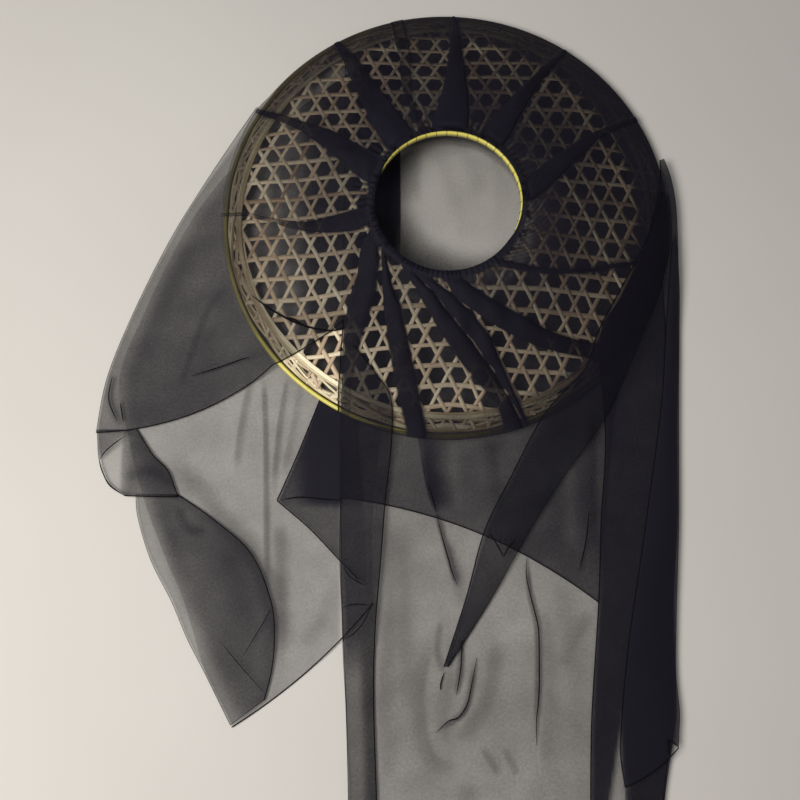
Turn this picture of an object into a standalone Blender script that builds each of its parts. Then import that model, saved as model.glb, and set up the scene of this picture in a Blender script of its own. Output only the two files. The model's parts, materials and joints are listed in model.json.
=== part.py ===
"""Open-crown bamboo hat with a long sheer veil, lying crown up with the veil spread on the floor.

Metres, +Z up. The origin is on the floor under the centre of the crown. -Y is the long end of the
veil. Every layer of cloth is a wall CLOTH thick, and lies LAYER above the layer under it.
"""
import math
from collections import namedtuple

import bmesh
import bpy
from mathutils import Vector
from mathutils.geometry import delaunay_2d_cdt

MM = 0.001

# Hat
RIM_RADIUS = 0.2200
HOOP_WIDTH = 0.0045
HOOP_BOTTOM = 0.0034
RIM_TOP = 0.0085
CROWN_HOOP_INNER = 0.0698
CROWN_HOOP_OUTER = 0.0748
CROWN_HOOP_BOTTOM = 0.0462
CROWN_HOOP_TOP = 0.0530
WEAVE_INNER = 0.0752
WEAVE_OUTER = 0.1960
WEAVE_THICKNESS = 0.0020
CROWN_EDGE_HEIGHT = 0.0500
BRIM_BULGE = 0.0040
BAND_THICKNESS = 0.0048
BAND_INNER = WEAVE_OUTER + 0.0003
BAND_OUTER = RIM_RADIUS - HOOP_WIDTH - 0.0003
HEX_PITCH = 0.0310
HEX_STRIP = 0.0070
RING_SEGMENTS = 60

# Veil
CLOTH = 0.0010
LAYER = 0.0016
SKIN_GAP = 0.0005
COVER_INNER = 0.0790
COVER_OUTER = 0.2225
DROP_WIDTH = 0.0350
HEADING_INNER = 0.0751
HEADING_OUTER = 0.0767
HEADING_BOTTOM = 0.0506
HEADING_TOP = 0.0528
HEADING_RUFFLE = 0.0012
HEADING_GATHERS = 24
COVER_SEGMENTS = 86
COVER_STATIONS = (0.0, 0.16, 0.36, 0.58, 0.80, 0.965, 1.0)

# Layers of cloth, with room for slack, between the brim and a layer that lies over the hat
STRIP_LEVEL = 1.0
INNER_FALL_LEVEL = 1.3
TOP_FALL_LEVEL = 2.6
CORNER_FOLD_LEVEL = 2.0
CURL_RISE = 0.009
FLAP_RISE = 0.004

BAMBOO = (0.56, 0.44, 0.24, 1.0)
BAMBOO_BRIGHT = (0.80, 0.66, 0.20, 1.0)
VEIL = (0.020, 0.019, 0.026, 1.0)

# A pleat runs over the brim from the crown hoop to the rim, in degrees from +X, anticlockwise.
Pleat = namedtuple("Pleat", "crown_deg rim_deg width_deg height_mm")
PLEATS = (
    Pleat(9, 29, 9, 4.5),
    Pleat(49, 57, 8, 5.0),
    Pleat(84, 90, 7, 6.0),
    Pleat(126, 122, 8, 5.5),
    Pleat(151, 147, 10, 5.0),
    Pleat(185, 177, 9, 4.0),
    Pleat(246, 271, 4, 4.5),
    Pleat(252, 290, 8, 5.0),
    Pleat(268, 311, 7, 5.0),
    Pleat(300, 334, 9, 4.5),
)

# A straight fold stands up along Y in one layer, in millimetres. It fades at both ends.
Ridge = namedtuple("Ridge", "centre_x half_width start_y end_y rise")
RIDGE_FADE = 0.040
BACK_PANEL_RIDGE = Ridge(78, 14, -400, -580, 3.5)
LEFT_PANEL_RIDGE = Ridge(-186, 12, -185, -300, 2.5)
FRONT_PANEL_RIDGE = Ridge(-14, 10, -222, -312, 2.0)

# The cover lies flat east of this line, where the falls at the right lie on it.
FALL_LINE_NORTH = Vector((0.208, 0.045))
FALL_LINE_SOUTH = Vector((0.078, -0.200))
FALL_CLEARANCE = 0.022

# The bare notch: the cover is slit from the crown hoop to NOTCH_APEX, and open from there outwards.
NOTCH_APEX = 0.141
SLIT_DEG = 0.6
NotchEdge = namedtuple("NotchEdge", "radius strip_deg wing_deg")
NOTCH = (
    NotchEdge(COVER_INNER, 199.0, 199.0 - SLIT_DEG),
    NotchEdge(NOTCH_APEX, 224.5, 224.5 - SLIT_DEG),
    NotchEdge(COVER_OUTER, 241.0, 221.0),
)

# A section crosses one layer of the veil from its left edge to its right one, in millimetres. Its
# middle is bowed towards the hem by bow. The sections of a layer run from the hat to its hem.
Section = namedtuple("Section", "left_x left_y right_x right_y bow")

BACK_PANEL_MARGIN = -0.106
MARGIN_STEP = 0.022
BACK_PANEL = (
    Section(-101, 189, 150, 159, -44),
    Section(-101, 95, 204, 60, -8),
    Section(-101, 0, 212, 0, 0),
    Section(-101, -150, 213, -150, 0),
    Section(-101, -281, 211, -281, 0),
    Section(-98, -400, 207, -400, 0),
    Section(-94, -470, 203, -470, 0),
    Section(-91, -547, 194, -547, 0),
    Section(-90, -600, 190, -600, 3),
)
LEFT_PANEL = (
    Section(-186, 108, -45, 206, -20),
    Section(-222, 62, -45, 120, -6),
    Section(-253, 20, -45, 45, 0),
    Section(-281, -28, -45, -30, 0),
    Section(-305, -97, -49, -120, 0),
    Section(-326, -160, -60, -200, 0),
    Section(-333, -216, -69, -262, 0),
    Section(-294, -274, -71, -305, 0),
    Section(-269, -334, -71, -335, 0),
    Section(-251, -372, -71, -352, 0),
    Section(-222, -438, -70, -364, 4),
    Section(-197, -484, -70, -374, 7),
)
LEFT_WING = (
    Section(-194, 119, -189.5, 120.5, 0),
    Section(-225, 70, -213, 71, 0),
    Section(-255, 23, -224, 17, 0),
    Section(-282, -26, -222, -33, 0),
    Section(-306, -95, -211, -76, 2),
    Section(-327, -160, -194, -113, 6),
    Section(-334, -214, -167.5, -149.5, 16),
)
WING_CURL = (
    Section(-334, -216, -272, -207, 4),
    Section(-333, -243, -262, -243, 0),
    Section(-324, -264, -255, -262, 0),
    Section(-308, -275, -252, -274, 0),
)
LEFT_FLAP = (
    Section(-293, -277, -252, -276, 0),
    Section(-287, -295, -220, -296, 0),
    Section(-269, -334, -184, -328, 0),
    Section(-251, -372, -164, -372, 0),
    Section(-236, -406, -160, -405, 0),
    Section(-222, -438, -162, -434, 0),
    Section(-198, -482, -168, -460, 0),
)
CORNER_FOLD = (
    Section(-125, -191, -90, -209, 4),
    Section(-140, -230, -84, -232, 0),
    Section(-160, -279, -80, -279, 0),
    Section(-129, -306, -78, -310, 0),
    Section(-101, -335, -77, -338, 0),
    Section(-84, -352, -76, -357, 0),
)
SIDE_STRIP = (
    Section(-77, -29, -62, -53, 0),
    Section(-82, -94, -53, -95, 0),
    Section(-96, -130, -48, -140, 0),
    Section(-101, -193, -47, -184, 0),
    Section(-101, -226, -53, -222, 0),
    Section(-101, -281, -59, -281, 0),
    Section(-101, -335, -63, -335, 0),
    Section(-97, -405, -68, -400, 0),
    Section(-94, -460, -69, -460, 0),
    Section(-91, -547, -66, -547, 0),
    Section(-90, -600, -65, -600, 0),
)
FRONT_PANEL = (
    Section(-58, -216.5, 167, -149.5, 32.5),
    Section(-61, -236, 162, -184, 24),
    Section(-63, -258, 152, -250, 10),
    Section(-64, -280, 138, -373, -14),
)
SPIKE_FOLD = (
    Section(150, -108, 180, -84, 0),
    Section(135, -149, 178, -146, 0),
    Section(92, -198, 147, -205, 0),
    Section(59, -258, 105, -262, 0),
    Section(34, -307, 73, -312, 0),
    Section(16, -369, 38, -372, 0),
    Section(-5, -431, -1, -431, 0),
)
RIGHT_INNER_FALL = (
    Section(211, 26, 223, 37, 0),
    Section(191, -39, 227, -22, 0),
    Section(168, -84, 226, -82, 0),
    Section(146, -125, 224, -140, 0),
    Section(150, -200, 219, -200, 0),
    Section(149, -240, 217, -240, 0),
    Section(143, -297, 214, -300, 0),
    Section(138, -371, 211, -371, 0),
    Section(129, -460, 206, -460, 0),
    Section(124, -547, 194, -547, 0),
    Section(122, -600, 190, -600, 0),
)
RIGHT_OUTER_FALL = (
    Section(214, -36, 229, -26, 0),
    Section(204, -78, 228, -82, 0),
    Section(195, -182, 222, -182, 0),
    Section(180, -297, 216, -297, 0),
    Section(167, -389, 212, -389, 0),
    Section(157, -460, 208, -455, 0),
    Section(152, -500, 206, -490, 0),
    Section(155, -529, 203, -507, 3),
)


def clear_scene():
    """Remove what a new file starts with."""
    for item in list(bpy.data.objects):
        bpy.data.objects.remove(item, do_unlink=True)


def make_material(name, colour, roughness):
    """A plain finish for one kind of piece."""
    material = bpy.data.materials.new(name)
    material.use_nodes = True
    shader = material.node_tree.nodes["Principled BSDF"]
    shader.inputs["Base Color"].default_value = colour
    shader.inputs["Roughness"].default_value = roughness
    shader.inputs["Metallic"].default_value = 0.0
    return material


def make_object(name, mesh_data, material):
    """Turn a finished bmesh into a named object with its normals pointing out."""
    bmesh.ops.recalc_face_normals(mesh_data, faces=mesh_data.faces[:])
    mesh = bpy.data.meshes.new(name)
    mesh_data.to_mesh(mesh)
    mesh_data.free()
    mesh.materials.append(material)
    mesh.shade_smooth()
    mesh.set_sharp_from_angle(angle=math.radians(35))
    item = bpy.data.objects.new(name, mesh)
    bpy.context.scene.collection.objects.link(item)
    return item


def smooth(value):
    """Ease from 0 to 1 as value goes from 0 to 1."""
    value = min(1.0, max(0.0, value))
    return value * value * (3.0 - 2.0 * value)


def ramp(value, start, end):
    """Ease from 0 at start to 1 at end."""
    return smooth((value - start) / (end - start))


def polar(radius, degrees, height=0.0):
    """A point at radius and angle round the crown's axis."""
    turn = math.radians(degrees)
    return Vector((radius * math.cos(turn), radius * math.sin(turn), height))


def brim_height(radius):
    """Top of the brim: a shallow cone with a slight bulge, down to the rim."""
    along = (radius - WEAVE_INNER) / (RIM_RADIUS - WEAVE_INNER)
    along = min(1.0, max(0.0, along))
    cone = RIM_TOP + (CROWN_EDGE_HEIGHT - RIM_TOP) * (1.0 - along)
    return cone + BRIM_BULGE * 4.0 * along * (1.0 - along)


def rest_height(x, y):
    """Surface that cloth lying over the hat rests on: the brim, the fall past the rim, the floor."""
    radius = math.hypot(x, y)
    if radius <= RIM_RADIUS:
        return brim_height(radius) + SKIN_GAP
    return (RIM_TOP + SKIN_GAP) * (1.0 - smooth((radius - RIM_RADIUS) / DROP_WIDTH))


def off_hat(x, y):
    """0 over the hat and 1 on the floor beside it."""
    return ramp(math.hypot(x, y), RIM_RADIUS, RIM_RADIUS + DROP_WIDTH)


def spline(values, position):
    """Catmull-Rom value of a row of numbers at a position from 0 to 1."""
    last = len(values) - 1
    place = min(position * last, last - 1e-9)
    first = int(place)
    part = place - first
    before = values[max(first - 1, 0)]
    start = values[first]
    end = values[first + 1]
    after = values[min(first + 2, last)]
    return 0.5 * (2 * start + (end - before) * part
                  + (2 * before - 5 * start + 4 * end - after) * part ** 2
                  + (3 * start - 3 * end + after - before) * part ** 3)


def sheet_point(sections, across, along):
    """Place on the floor plan of a layer, across from 0 to 1 and along from hat to hem."""
    left_x, left_y, right_x, right_y, bow = (
        spline([row[column] for row in sections], along) for column in range(5))
    left = Vector((left_x, left_y)) * MM
    right = Vector((right_x, right_y)) * MM
    side = right - left
    down = Vector((side.y, -side.x)).normalized()
    return left + side * across + down * bow * MM * 4.0 * across * (1.0 - across)


def close_wall(mesh_data, lower, upper):
    """Join two grids of vertices, one above the other, into a closed wall."""
    rows = len(lower)
    columns = len(lower[0])
    for row in range(rows - 1):
        for column in range(columns - 1):
            for grid in (lower, upper):
                mesh_data.faces.new((grid[row][column], grid[row][column + 1],
                                     grid[row + 1][column + 1], grid[row + 1][column]))
    edge = ([(0, column) for column in range(columns)]
            + [(row, columns - 1) for row in range(1, rows)]
            + [(rows - 1, column) for column in range(columns - 2, -1, -1)]
            + [(row, 0) for row in range(rows - 2, 0, -1)])
    for (row_a, column_a), (row_b, column_b) in zip(edge, edge[1:] + edge[:1]):
        mesh_data.faces.new((lower[row_a][column_a], lower[row_b][column_b],
                             upper[row_b][column_b], upper[row_a][column_a]))


def make_sheet(name, sections, columns, rows, height, material):
    """One layer of cloth. height gives its underside from x, y and the two sheet positions."""
    mesh_data = bmesh.new()
    lower = []
    upper = []
    for row in range(rows + 1):
        low_line = []
        top_line = []
        for column in range(columns + 1):
            across = column / columns
            along = row / rows
            x, y = sheet_point(sections, across, along)
            z = height(x, y, across, along)
            low_line.append(mesh_data.verts.new((x, y, z)))
            top_line.append(mesh_data.verts.new((x, y, z + CLOTH)))
        lower.append(low_line)
        upper.append(top_line)
    close_wall(mesh_data, lower, upper)
    return make_object(name, mesh_data, material)


def make_turned_ring(name, profile, segments, material):
    """A closed ring turned from a profile. profile gives (radius, height) pairs at an angle."""
    mesh_data = bmesh.new()
    rings = []
    for index in range(segments):
        degrees = 360.0 * index / segments
        rings.append([mesh_data.verts.new(polar(radius, degrees, height))
                      for radius, height in profile(degrees)])
    for ring, following in zip(rings, rings[1:] + rings[:1]):
        count = len(ring)
        for index in range(count):
            after = (index + 1) % count
            mesh_data.faces.new((ring[index], ring[after], following[after], following[index]))
    return make_object(name, mesh_data, material)


def hexagon_centres():
    """Centres of the open hexagons that fit whole between the crown hoop and the rim band."""
    centres = []
    reach = int(WEAVE_OUTER / HEX_PITCH) + 2
    hole = (HEX_PITCH - HEX_STRIP) / math.sqrt(3.0)
    for row in range(-reach, reach + 1):
        for column in range(-2 * reach, 2 * reach + 1):
            x = HEX_PITCH * (column + 0.5 * (row % 2))
            y = HEX_PITCH * row * math.sqrt(3.0) / 2.0
            radius = math.hypot(x, y)
            inside = WEAVE_OUTER - hole - HEX_STRIP * 0.5
            if WEAVE_INNER + hole + HEX_STRIP * 0.4 <= radius <= inside:
                centres.append(Vector((x, y)))
    return centres


def make_brim_weave(material):
    """Conical brim of bamboo strips woven in three directions, cut through in open hexagons."""
    outlines = []
    for radius in (WEAVE_OUTER, WEAVE_INNER):
        outlines.append([polar(radius, 360.0 * index / RING_SEGMENTS).to_2d()
                         for index in range(RING_SEGMENTS)])
    hole = (HEX_PITCH - HEX_STRIP) / math.sqrt(3.0)
    centres = hexagon_centres()
    for centre in centres:
        outlines.append([centre + polar(hole, 60.0 * corner + 30.0).to_2d() for corner in range(6)])
    points = []
    edges = []
    for outline in outlines:
        first = len(points)
        points += outline
        edges += [(first + index, first + (index + 1) % len(outline))
                  for index in range(len(outline))]
    flat_points, _, faces, *_ = delaunay_2d_cdt(points, edges, [], 0, 1e-6)
    mesh_data = bmesh.new()
    top = [mesh_data.verts.new((x, y, brim_height(math.hypot(x, y)))) for x, y in flat_points]
    low = [mesh_data.verts.new(vertex.co - Vector((0, 0, WEAVE_THICKNESS))) for vertex in top]
    sides = {}
    for face in faces:
        middle = sum((flat_points[index] for index in face), Vector((0, 0))) / len(face)
        inside_ring = WEAVE_INNER < middle.length < WEAVE_OUTER
        in_hole = any((middle - centre).length < hole * 0.8 for centre in centres)
        if not inside_ring or in_hole:
            continue
        mesh_data.faces.new([top[index] for index in face])
        mesh_data.faces.new([low[index] for index in reversed(face)])
        for start, end in zip(face, face[1:] + face[:1]):
            key = (min(start, end), max(start, end))
            sides[key] = sides.get(key, 0) + 1
    for (start, end), count in sides.items():
        if count == 1:
            mesh_data.faces.new((top[start], top[end], low[end], low[start]))
    loose = [vertex for vertex in mesh_data.verts if not vertex.link_faces]
    bmesh.ops.delete(mesh_data, geom=loose, context="VERTS")
    return make_object("brim_weave", mesh_data, material)


def make_rim_splint_band(material):
    """Bundle of long splints bent round the edge of the weave, one solid."""
    middle = 0.5 * (BAND_INNER + BAND_OUTER)
    round_off = 0.0014

    def profile(_degrees):
        top = brim_height
        return (
            (BAND_INNER, top(BAND_INNER) - round_off),
            (BAND_INNER + round_off, top(BAND_INNER + round_off)),
            (middle, top(middle)),
            (BAND_OUTER - round_off, top(BAND_OUTER - round_off)),
            (BAND_OUTER, top(BAND_OUTER) - round_off),
            (BAND_OUTER - round_off, top(BAND_OUTER) - BAND_THICKNESS),
            (BAND_INNER + round_off, top(BAND_INNER) - BAND_THICKNESS),
        )

    return make_turned_ring("rim_splint_band", profile, RING_SEGMENTS, material)


def bowed_profile(inner, outer, bottom, top, corner):
    """Section of a split hoop: a flat inner face, and the cane's round skin outside."""
    return (
        (inner, bottom), (outer - corner, bottom), (outer, bottom + corner),
        (outer, top - corner), (outer - corner, top), (inner, top),
    )


def make_hoops(material):
    """Bright split-bamboo hoops at the rim and round the open crown."""
    rim = bowed_profile(RIM_RADIUS - HOOP_WIDTH, RIM_RADIUS, HOOP_BOTTOM, RIM_TOP, 0.0011)
    crown = bowed_profile(CROWN_HOOP_INNER, CROWN_HOOP_OUTER, CROWN_HOOP_BOTTOM,
                          CROWN_HOOP_TOP, 0.0010)
    make_turned_ring("rim_outer_hoop", lambda _degrees: rim, RING_SEGMENTS, material)
    make_turned_ring("crown_hoop", lambda _degrees: crown, RING_SEGMENTS, material)


def make_heading(material):
    """Gathered top edge of the veil, sewn round the crown hoop."""

    def profile(degrees):
        wave = 0.5 + 0.5 * math.cos(math.radians(degrees * HEADING_GATHERS))
        top = HEADING_TOP - HEADING_RUFFLE * wave
        outer = HEADING_OUTER + HEADING_RUFFLE * wave
        return ((HEADING_INNER, HEADING_BOTTOM), (outer, HEADING_BOTTOM),
                (outer, top), (HEADING_INNER, top))

    make_turned_ring("veil_heading", profile, 3 * HEADING_GATHERS, material)


def west_of_falls(x, y):
    """1 where the cover is free to stand in pleats, 0 where the falls lie on it."""
    line = FALL_LINE_SOUTH - FALL_LINE_NORTH
    place = Vector((x, y)) - FALL_LINE_NORTH
    return ramp((line.y * place.x - line.x * place.y) / line.length, 0.0, FALL_CLEARANCE)


def pleat_height(radius, degrees):
    """Rise of the radial pleats in the cover over the brim."""
    along = (radius - COVER_INNER) / (COVER_OUTER - COVER_INNER)
    rise = 0.0
    for pleat in PLEATS:
        middle = pleat.crown_deg + (pleat.rim_deg - pleat.crown_deg) * along
        offset = (degrees - middle + 180.0) % 360.0 - 180.0
        part = 1.0 - abs(offset) / pleat.width_deg
        fade = 1.0 - ramp(along, 0.72, 1.0)
        rise += pleat.height_mm * MM * smooth(part) * fade
    x, y, _ = polar(radius, degrees)
    return rise * west_of_falls(x, y)


def notch_edge(radius, column):
    """Angle of one edge of the bare notch at a radius."""
    for inner, outer in zip(NOTCH, NOTCH[1:]):
        if radius <= outer.radius + 1e-9:
            part = (radius - inner.radius) / (outer.radius - inner.radius)
            return inner[column] + (outer[column] - inner[column]) * part
    return NOTCH[-1][column]


def make_brim_cover(material):
    """Veil over the whole brim, gathered into radial pleats, with the bare notch left open."""
    mesh_data = bmesh.new()
    lower = []
    upper = []
    for station in COVER_STATIONS:
        radius = COVER_INNER + (COVER_OUTER - COVER_INNER) * station
        start = notch_edge(radius, 1)
        end = notch_edge(radius, 2) + 360.0
        low_line = []
        top_line = []
        for index in range(COVER_SEGMENTS + 1):
            degrees = start + (end - start) * index / COVER_SEGMENTS
            x, y, _ = polar(radius, degrees)
            height = rest_height(x, y) + pleat_height(radius, degrees)
            low_line.append(mesh_data.verts.new((x, y, height)))
            top_line.append(mesh_data.verts.new((x, y, height + CLOTH)))
        lower.append(low_line)
        upper.append(top_line)
    close_wall(mesh_data, lower, upper)
    return make_object("veil_brim_cover", mesh_data, material)


def ridge_height(x, y, ridge):
    """Rise of a straight fold at a place in its layer."""
    past_start = ridge.start_y * MM - y
    before_end = y - ridge.end_y * MM
    length = ramp(past_start, 0.0, RIDGE_FADE) * ramp(before_end, 0.0, RIDGE_FADE)
    offset = abs(x - ridge.centre_x * MM) / (ridge.half_width * MM)
    return ridge.rise * MM * smooth(1.0 - offset) * length


def back_panel_height(x, y, _across, _along):
    """On the floor, with the long fold beside the middle of the lower half."""
    return ridge_height(x, y, BACK_PANEL_RIDGE)


def left_panel_height(x, y, _across, _along):
    """On the floor at the left, and on the back panel's margin at the right."""
    step_up = ramp(x, BACK_PANEL_MARGIN - MARGIN_STEP, BACK_PANEL_MARGIN)
    return LAYER * step_up + ridge_height(x, y, LEFT_PANEL_RIDGE)


def wing_height(x, y, _across, _along):
    """From the rim down on to the left panel."""
    return rest_height(x, y) + LAYER * off_hat(x, y)


def curl_height(_x, _y, across, along):
    """A loose roll at the wing's lower corner."""
    opening = 0.35 + 0.65 * along
    return LAYER + CURL_RISE * math.sin(math.pi * across) * opening


def flap_height(_x, _y, across, along):
    """Folded margin lying on the left panel, thick towards its outer fold."""
    return LAYER + FLAP_RISE * math.sin(math.pi * across) * math.sin(math.pi * along)


def corner_fold_height(_x, _y, _across, _along):
    """On the left panel, where that lies on the back panel."""
    return CORNER_FOLD_LEVEL * LAYER


def strip_height(x, y, _across, _along):
    """Over the cover, down past the rim, over the corner fold, then on the back panel."""
    over_folds = CORNER_FOLD_LEVEL * off_hat(x, y) * (1.0 - ramp(-y, 0.385, 0.420))
    return rest_height(x, y) + LAYER * (STRIP_LEVEL + over_folds)


def front_panel_height(x, y, _across, _along):
    """From the rim down on to the back panel, with the narrow fold that points to the hem."""
    fold = ridge_height(x, y, FRONT_PANEL_RIDGE)
    return rest_height(x, y) + (LAYER + fold) * off_hat(x, y)


def inner_fall_height(x, y, _across, _along):
    """Over the east side of the cover and down on to the front panel."""
    return rest_height(x, y) + LAYER * (INNER_FALL_LEVEL + off_hat(x, y))


def spike_height(x, y, _across, along):
    """Over the inner fall and the front panel, then down on to the back panel."""
    level = TOP_FALL_LEVEL * (1.0 - ramp(along, 0.66, 0.95))
    return rest_height(x, y) + LAYER * (level + off_hat(x, y))


def outer_fall_height(x, y, _across, _along):
    """On the inner fall."""
    return rest_height(x, y) + LAYER * (TOP_FALL_LEVEL + off_hat(x, y))


def make_veil(material):
    """The veil's layers beyond the rim, from the lowest to the highest."""
    make_sheet("veil_back_panel", BACK_PANEL, 10, 18, back_panel_height, material)
    make_sheet("veil_left_panel", LEFT_PANEL, 12, 18, left_panel_height, material)
    make_sheet("veil_left_wing", LEFT_WING, 7, 11, wing_height, material)
    make_sheet("veil_wing_curl", WING_CURL, 8, 4, curl_height, material)
    make_sheet("veil_left_flap", LEFT_FLAP, 5, 12, flap_height, material)
    make_sheet("veil_corner_fold", CORNER_FOLD, 4, 8, corner_fold_height, material)
    make_sheet("veil_side_strip", SIDE_STRIP, 3, 46, strip_height, material)
    make_sheet("veil_front_panel", FRONT_PANEL, 15, 10, front_panel_height, material)
    make_sheet("veil_right_inner_fall", RIGHT_INNER_FALL, 5, 38, inner_fall_height, material)
    make_sheet("veil_spike_fold", SPIKE_FOLD, 3, 28, spike_height, material)
    make_sheet("veil_right_outer_fall", RIGHT_OUTER_FALL, 3, 30, outer_fall_height, material)


def main():
    clear_scene()
    weave = make_material("bamboo_strip", BAMBOO, 0.55)
    splints = make_material("bamboo_splint", BAMBOO, 0.50)
    hoops = make_material("bamboo_hoop", BAMBOO_BRIGHT, 0.40)
    cloth = make_material("veil_organza", VEIL, 0.60)
    make_brim_weave(weave)
    make_rim_splint_band(splints)
    make_hoops(hoops)
    make_heading(cloth)
    make_brim_cover(cloth)
    make_veil(cloth)


main()
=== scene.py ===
"""Looks of the bamboo hat with veil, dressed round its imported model. Metres, +Z up.

The origin is on the floor under the centre of the crown, and -Y is the long end of the veil.
"""
import json
import math
from collections import namedtuple

import bmesh
import bpy
import numpy as np
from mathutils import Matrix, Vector

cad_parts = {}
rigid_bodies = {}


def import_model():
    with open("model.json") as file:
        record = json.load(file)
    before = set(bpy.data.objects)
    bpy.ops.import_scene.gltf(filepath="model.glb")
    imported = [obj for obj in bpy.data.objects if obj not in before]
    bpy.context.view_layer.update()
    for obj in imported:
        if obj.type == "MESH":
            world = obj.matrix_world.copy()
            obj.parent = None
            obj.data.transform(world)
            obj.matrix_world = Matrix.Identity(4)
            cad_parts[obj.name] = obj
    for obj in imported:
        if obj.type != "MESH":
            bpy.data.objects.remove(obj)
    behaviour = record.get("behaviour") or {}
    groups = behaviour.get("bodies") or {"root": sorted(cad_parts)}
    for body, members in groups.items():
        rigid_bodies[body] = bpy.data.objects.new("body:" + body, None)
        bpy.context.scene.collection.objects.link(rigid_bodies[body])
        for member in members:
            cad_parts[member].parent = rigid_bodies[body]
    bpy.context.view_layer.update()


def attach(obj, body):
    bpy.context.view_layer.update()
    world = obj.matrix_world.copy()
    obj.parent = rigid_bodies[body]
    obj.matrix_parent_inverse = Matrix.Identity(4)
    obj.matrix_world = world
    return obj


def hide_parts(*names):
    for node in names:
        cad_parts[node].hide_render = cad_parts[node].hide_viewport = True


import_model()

MM = 0.001
BODY = "root"

# Camera and floor
CAMERA_PLACE = (-0.0451, -0.4032, 1.0342)
CAMERA_TILT_DEG = 12.09
LENS_MM = 49.5
SENSOR_MM = 36.0
FLOOR_SIZE = 6.0
FLOOR_COLOURS = ((0.640, 0.608, 0.566), (0.672, 0.641, 0.598))

# Light
Lamp = namedtuple("Lamp", "name place target size power colour")
LAMPS = (
    Lamp("window_left", (-0.78, -0.46, 1.28), (-0.12, -0.25, 0.0), 0.9, 20.4, (1.0, 0.985, 0.95)),
    Lamp("fill_top", (0.1, -0.2, 2.6), (0.0, -0.1, 0.0), 2.4, 6.0, (1.0, 0.99, 0.98)),
)
WORLD_COLOUR = (0.92, 0.93, 0.95, 1.0)
WORLD_STRENGTH = 0.14
SHEER_LAYERS = 48

# Dark, middle and light colours of the bamboo, and its noise along and across each strip
STRIP_COLOURS = ((0.26, 0.160, 0.09), (0.66, 0.50, 0.33), (0.92, 0.83, 0.60))
SPLINT_COLOURS = ((0.16, 0.10, 0.05), (0.50, 0.37, 0.20), (0.92, 0.84, 0.55))
SKIN_COLOURS = ((0.26, 0.22, 0.11), (0.70, 0.60, 0.09), (0.85, 0.78, 0.22))
FIBRE_FACTORS = (45.0, 2600.0, 1.0)
BLOTCH_FACTORS = (22.0, 160.0, 1.0)

# Colours of the cloth and its threads, and the share of what lies behind that one layer hides
# The cloth's blue cast is painted sheen: it stands in for the bluish sheen seen on its folds
CLOTH_AND_SHEEN_COLOUR = (0.0105, 0.0092, 0.0165)
SHEEN_COLOUR = (0.75, 0.72, 0.9)
HEM_COLOUR = (0.004, 0.0036, 0.005)
FOLD_COLOUR = (0.006, 0.0055, 0.008)
THREAD_COLOUR = (0.016, 0.014, 0.014)
CLOTH_COVER = 0.37

# Bamboo. The splint band lies on the brim, and two bindings are wound round it.
RIM_RADIUS = 0.2200
RIM_TOP = 0.0085
HOOP_BOTTOM = 0.0034
HOOP_WIDTH = 0.0038
HOOP_STEPS = 360
HOOP_BEVEL = 0.0003
HOOP_FLAT = 0.45
HOOP_WAVES = ((0.0012, 3, 0, 0.7), (0.0007, 7, 0, 0.0))
HOOP_TINT = 0.02
HOOP_BRIGHT_TINT = 0.62
CROWN_HOOP_INNER = 0.0698
CROWN_HOOP_OUTER = 0.0733
CROWN_HOOP_BOTTOM = 0.0462
CROWN_HOOP_TOP = 0.0530
WEAVE_INNER = 0.0752
WEAVE_OUTER = 0.2128
CROWN_EDGE_HEIGHT = 0.0500
BRIM_BULGE = 0.0040
HEX_PITCH = 0.0200
STRIP_WIDTH = 0.0037
STRIP_THICKNESS = 0.0005
STRIP_LIFT = 0.00035
STRIP_STEPS = 180
STRIP_TURN = 0.014
STRIP_WIDTH_RANGE = (0.86, 1.12)
ROW_SHARE = math.sqrt(3.0) / 2.0
WEAVE_SEED = 3
WEAVE_SINK = 0.0010
WEAVE_STRETCH = 0.05
WEAVE_SIDE_STRETCH = 0.06
WEAVE_SIDE = 0.14
WEAVE_WANDER = 0.0042
SPLINTS = 8
SPLINT_WIDTH = 0.0023
SPLINT_THICKNESS = 0.0009
SPLINT_WEAVE = 0.0004
SPLINT_STEP = 0.00008
SPLINT_WAVES = 5.0
SPLINT_POINTS = 300
UPPER_SPLINTS = {"Level": -0.0015, "Direction": 1.0, "Seed": 11}
LOWER_SPLINTS = {"Level": -0.0040, "Direction": -1.0, "Seed": 23}
BINDING_RADIUS = 0.2015
BINDING_SWING = 0.0022
BINDING_WIDTH = 0.0044
BINDINGS = {"Count": 2, "Middle Radius": BINDING_RADIUS, "Swing": BINDING_SWING, "Waves": 3.0,
            "Width": BINDING_WIDTH, "Thickness": STRIP_THICKNESS, "Seed": 5}
HOOP_BRIGHT_DEG = (206.0, 220.0, 262.0, 290.0)
BAND_MIDDLE = 0.2068
BAND_SWING = 0.0070

# Veil
LAYER = 0.0016
SKIN_GAP = 0.0008
DROP_WIDTH = 0.0350
SHEET_BASE = 0.0005
HEM_RADIUS = 0.00055
FOLD_LINE_RADIUS = 0.00030
CREASE_LINE_RADIUS = 0.00058
LINE_RADIUS = {"veil_brim_cover": 0.00095, "veil_left_flap": 0.00034, "veil_side_strip": 0.00042}
TUBE_SIDES = 6
STEEPEST = 6.0
SWELL = 0.0009
SWELL_WAVES = ((1.0, 61, 23, 0.0), (1.0, -29, 37, 1.3), (0.6, 97, -41, 0.6))
DOUBLE_GAP = 0.0007
DOUBLE_TOP = 0.0002
DOUBLE_BOTTOM = 0.0003
STITCHES = 44
STITCH_SEED = 4
STITCH_LEAN = (-0.25, 0.45)
STITCH_ROOM = (0.0008, 0.0006)
STITCH_SIDES = 16
THREAD_RADIUS = 0.00020
THREAD_SIDES = 5
HEADING_INNER = 0.0743
HEADING_BOTTOM = 0.0500
HEADING_HEIGHT = 0.0034
HEADING_FLARE = 0.0011
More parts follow.
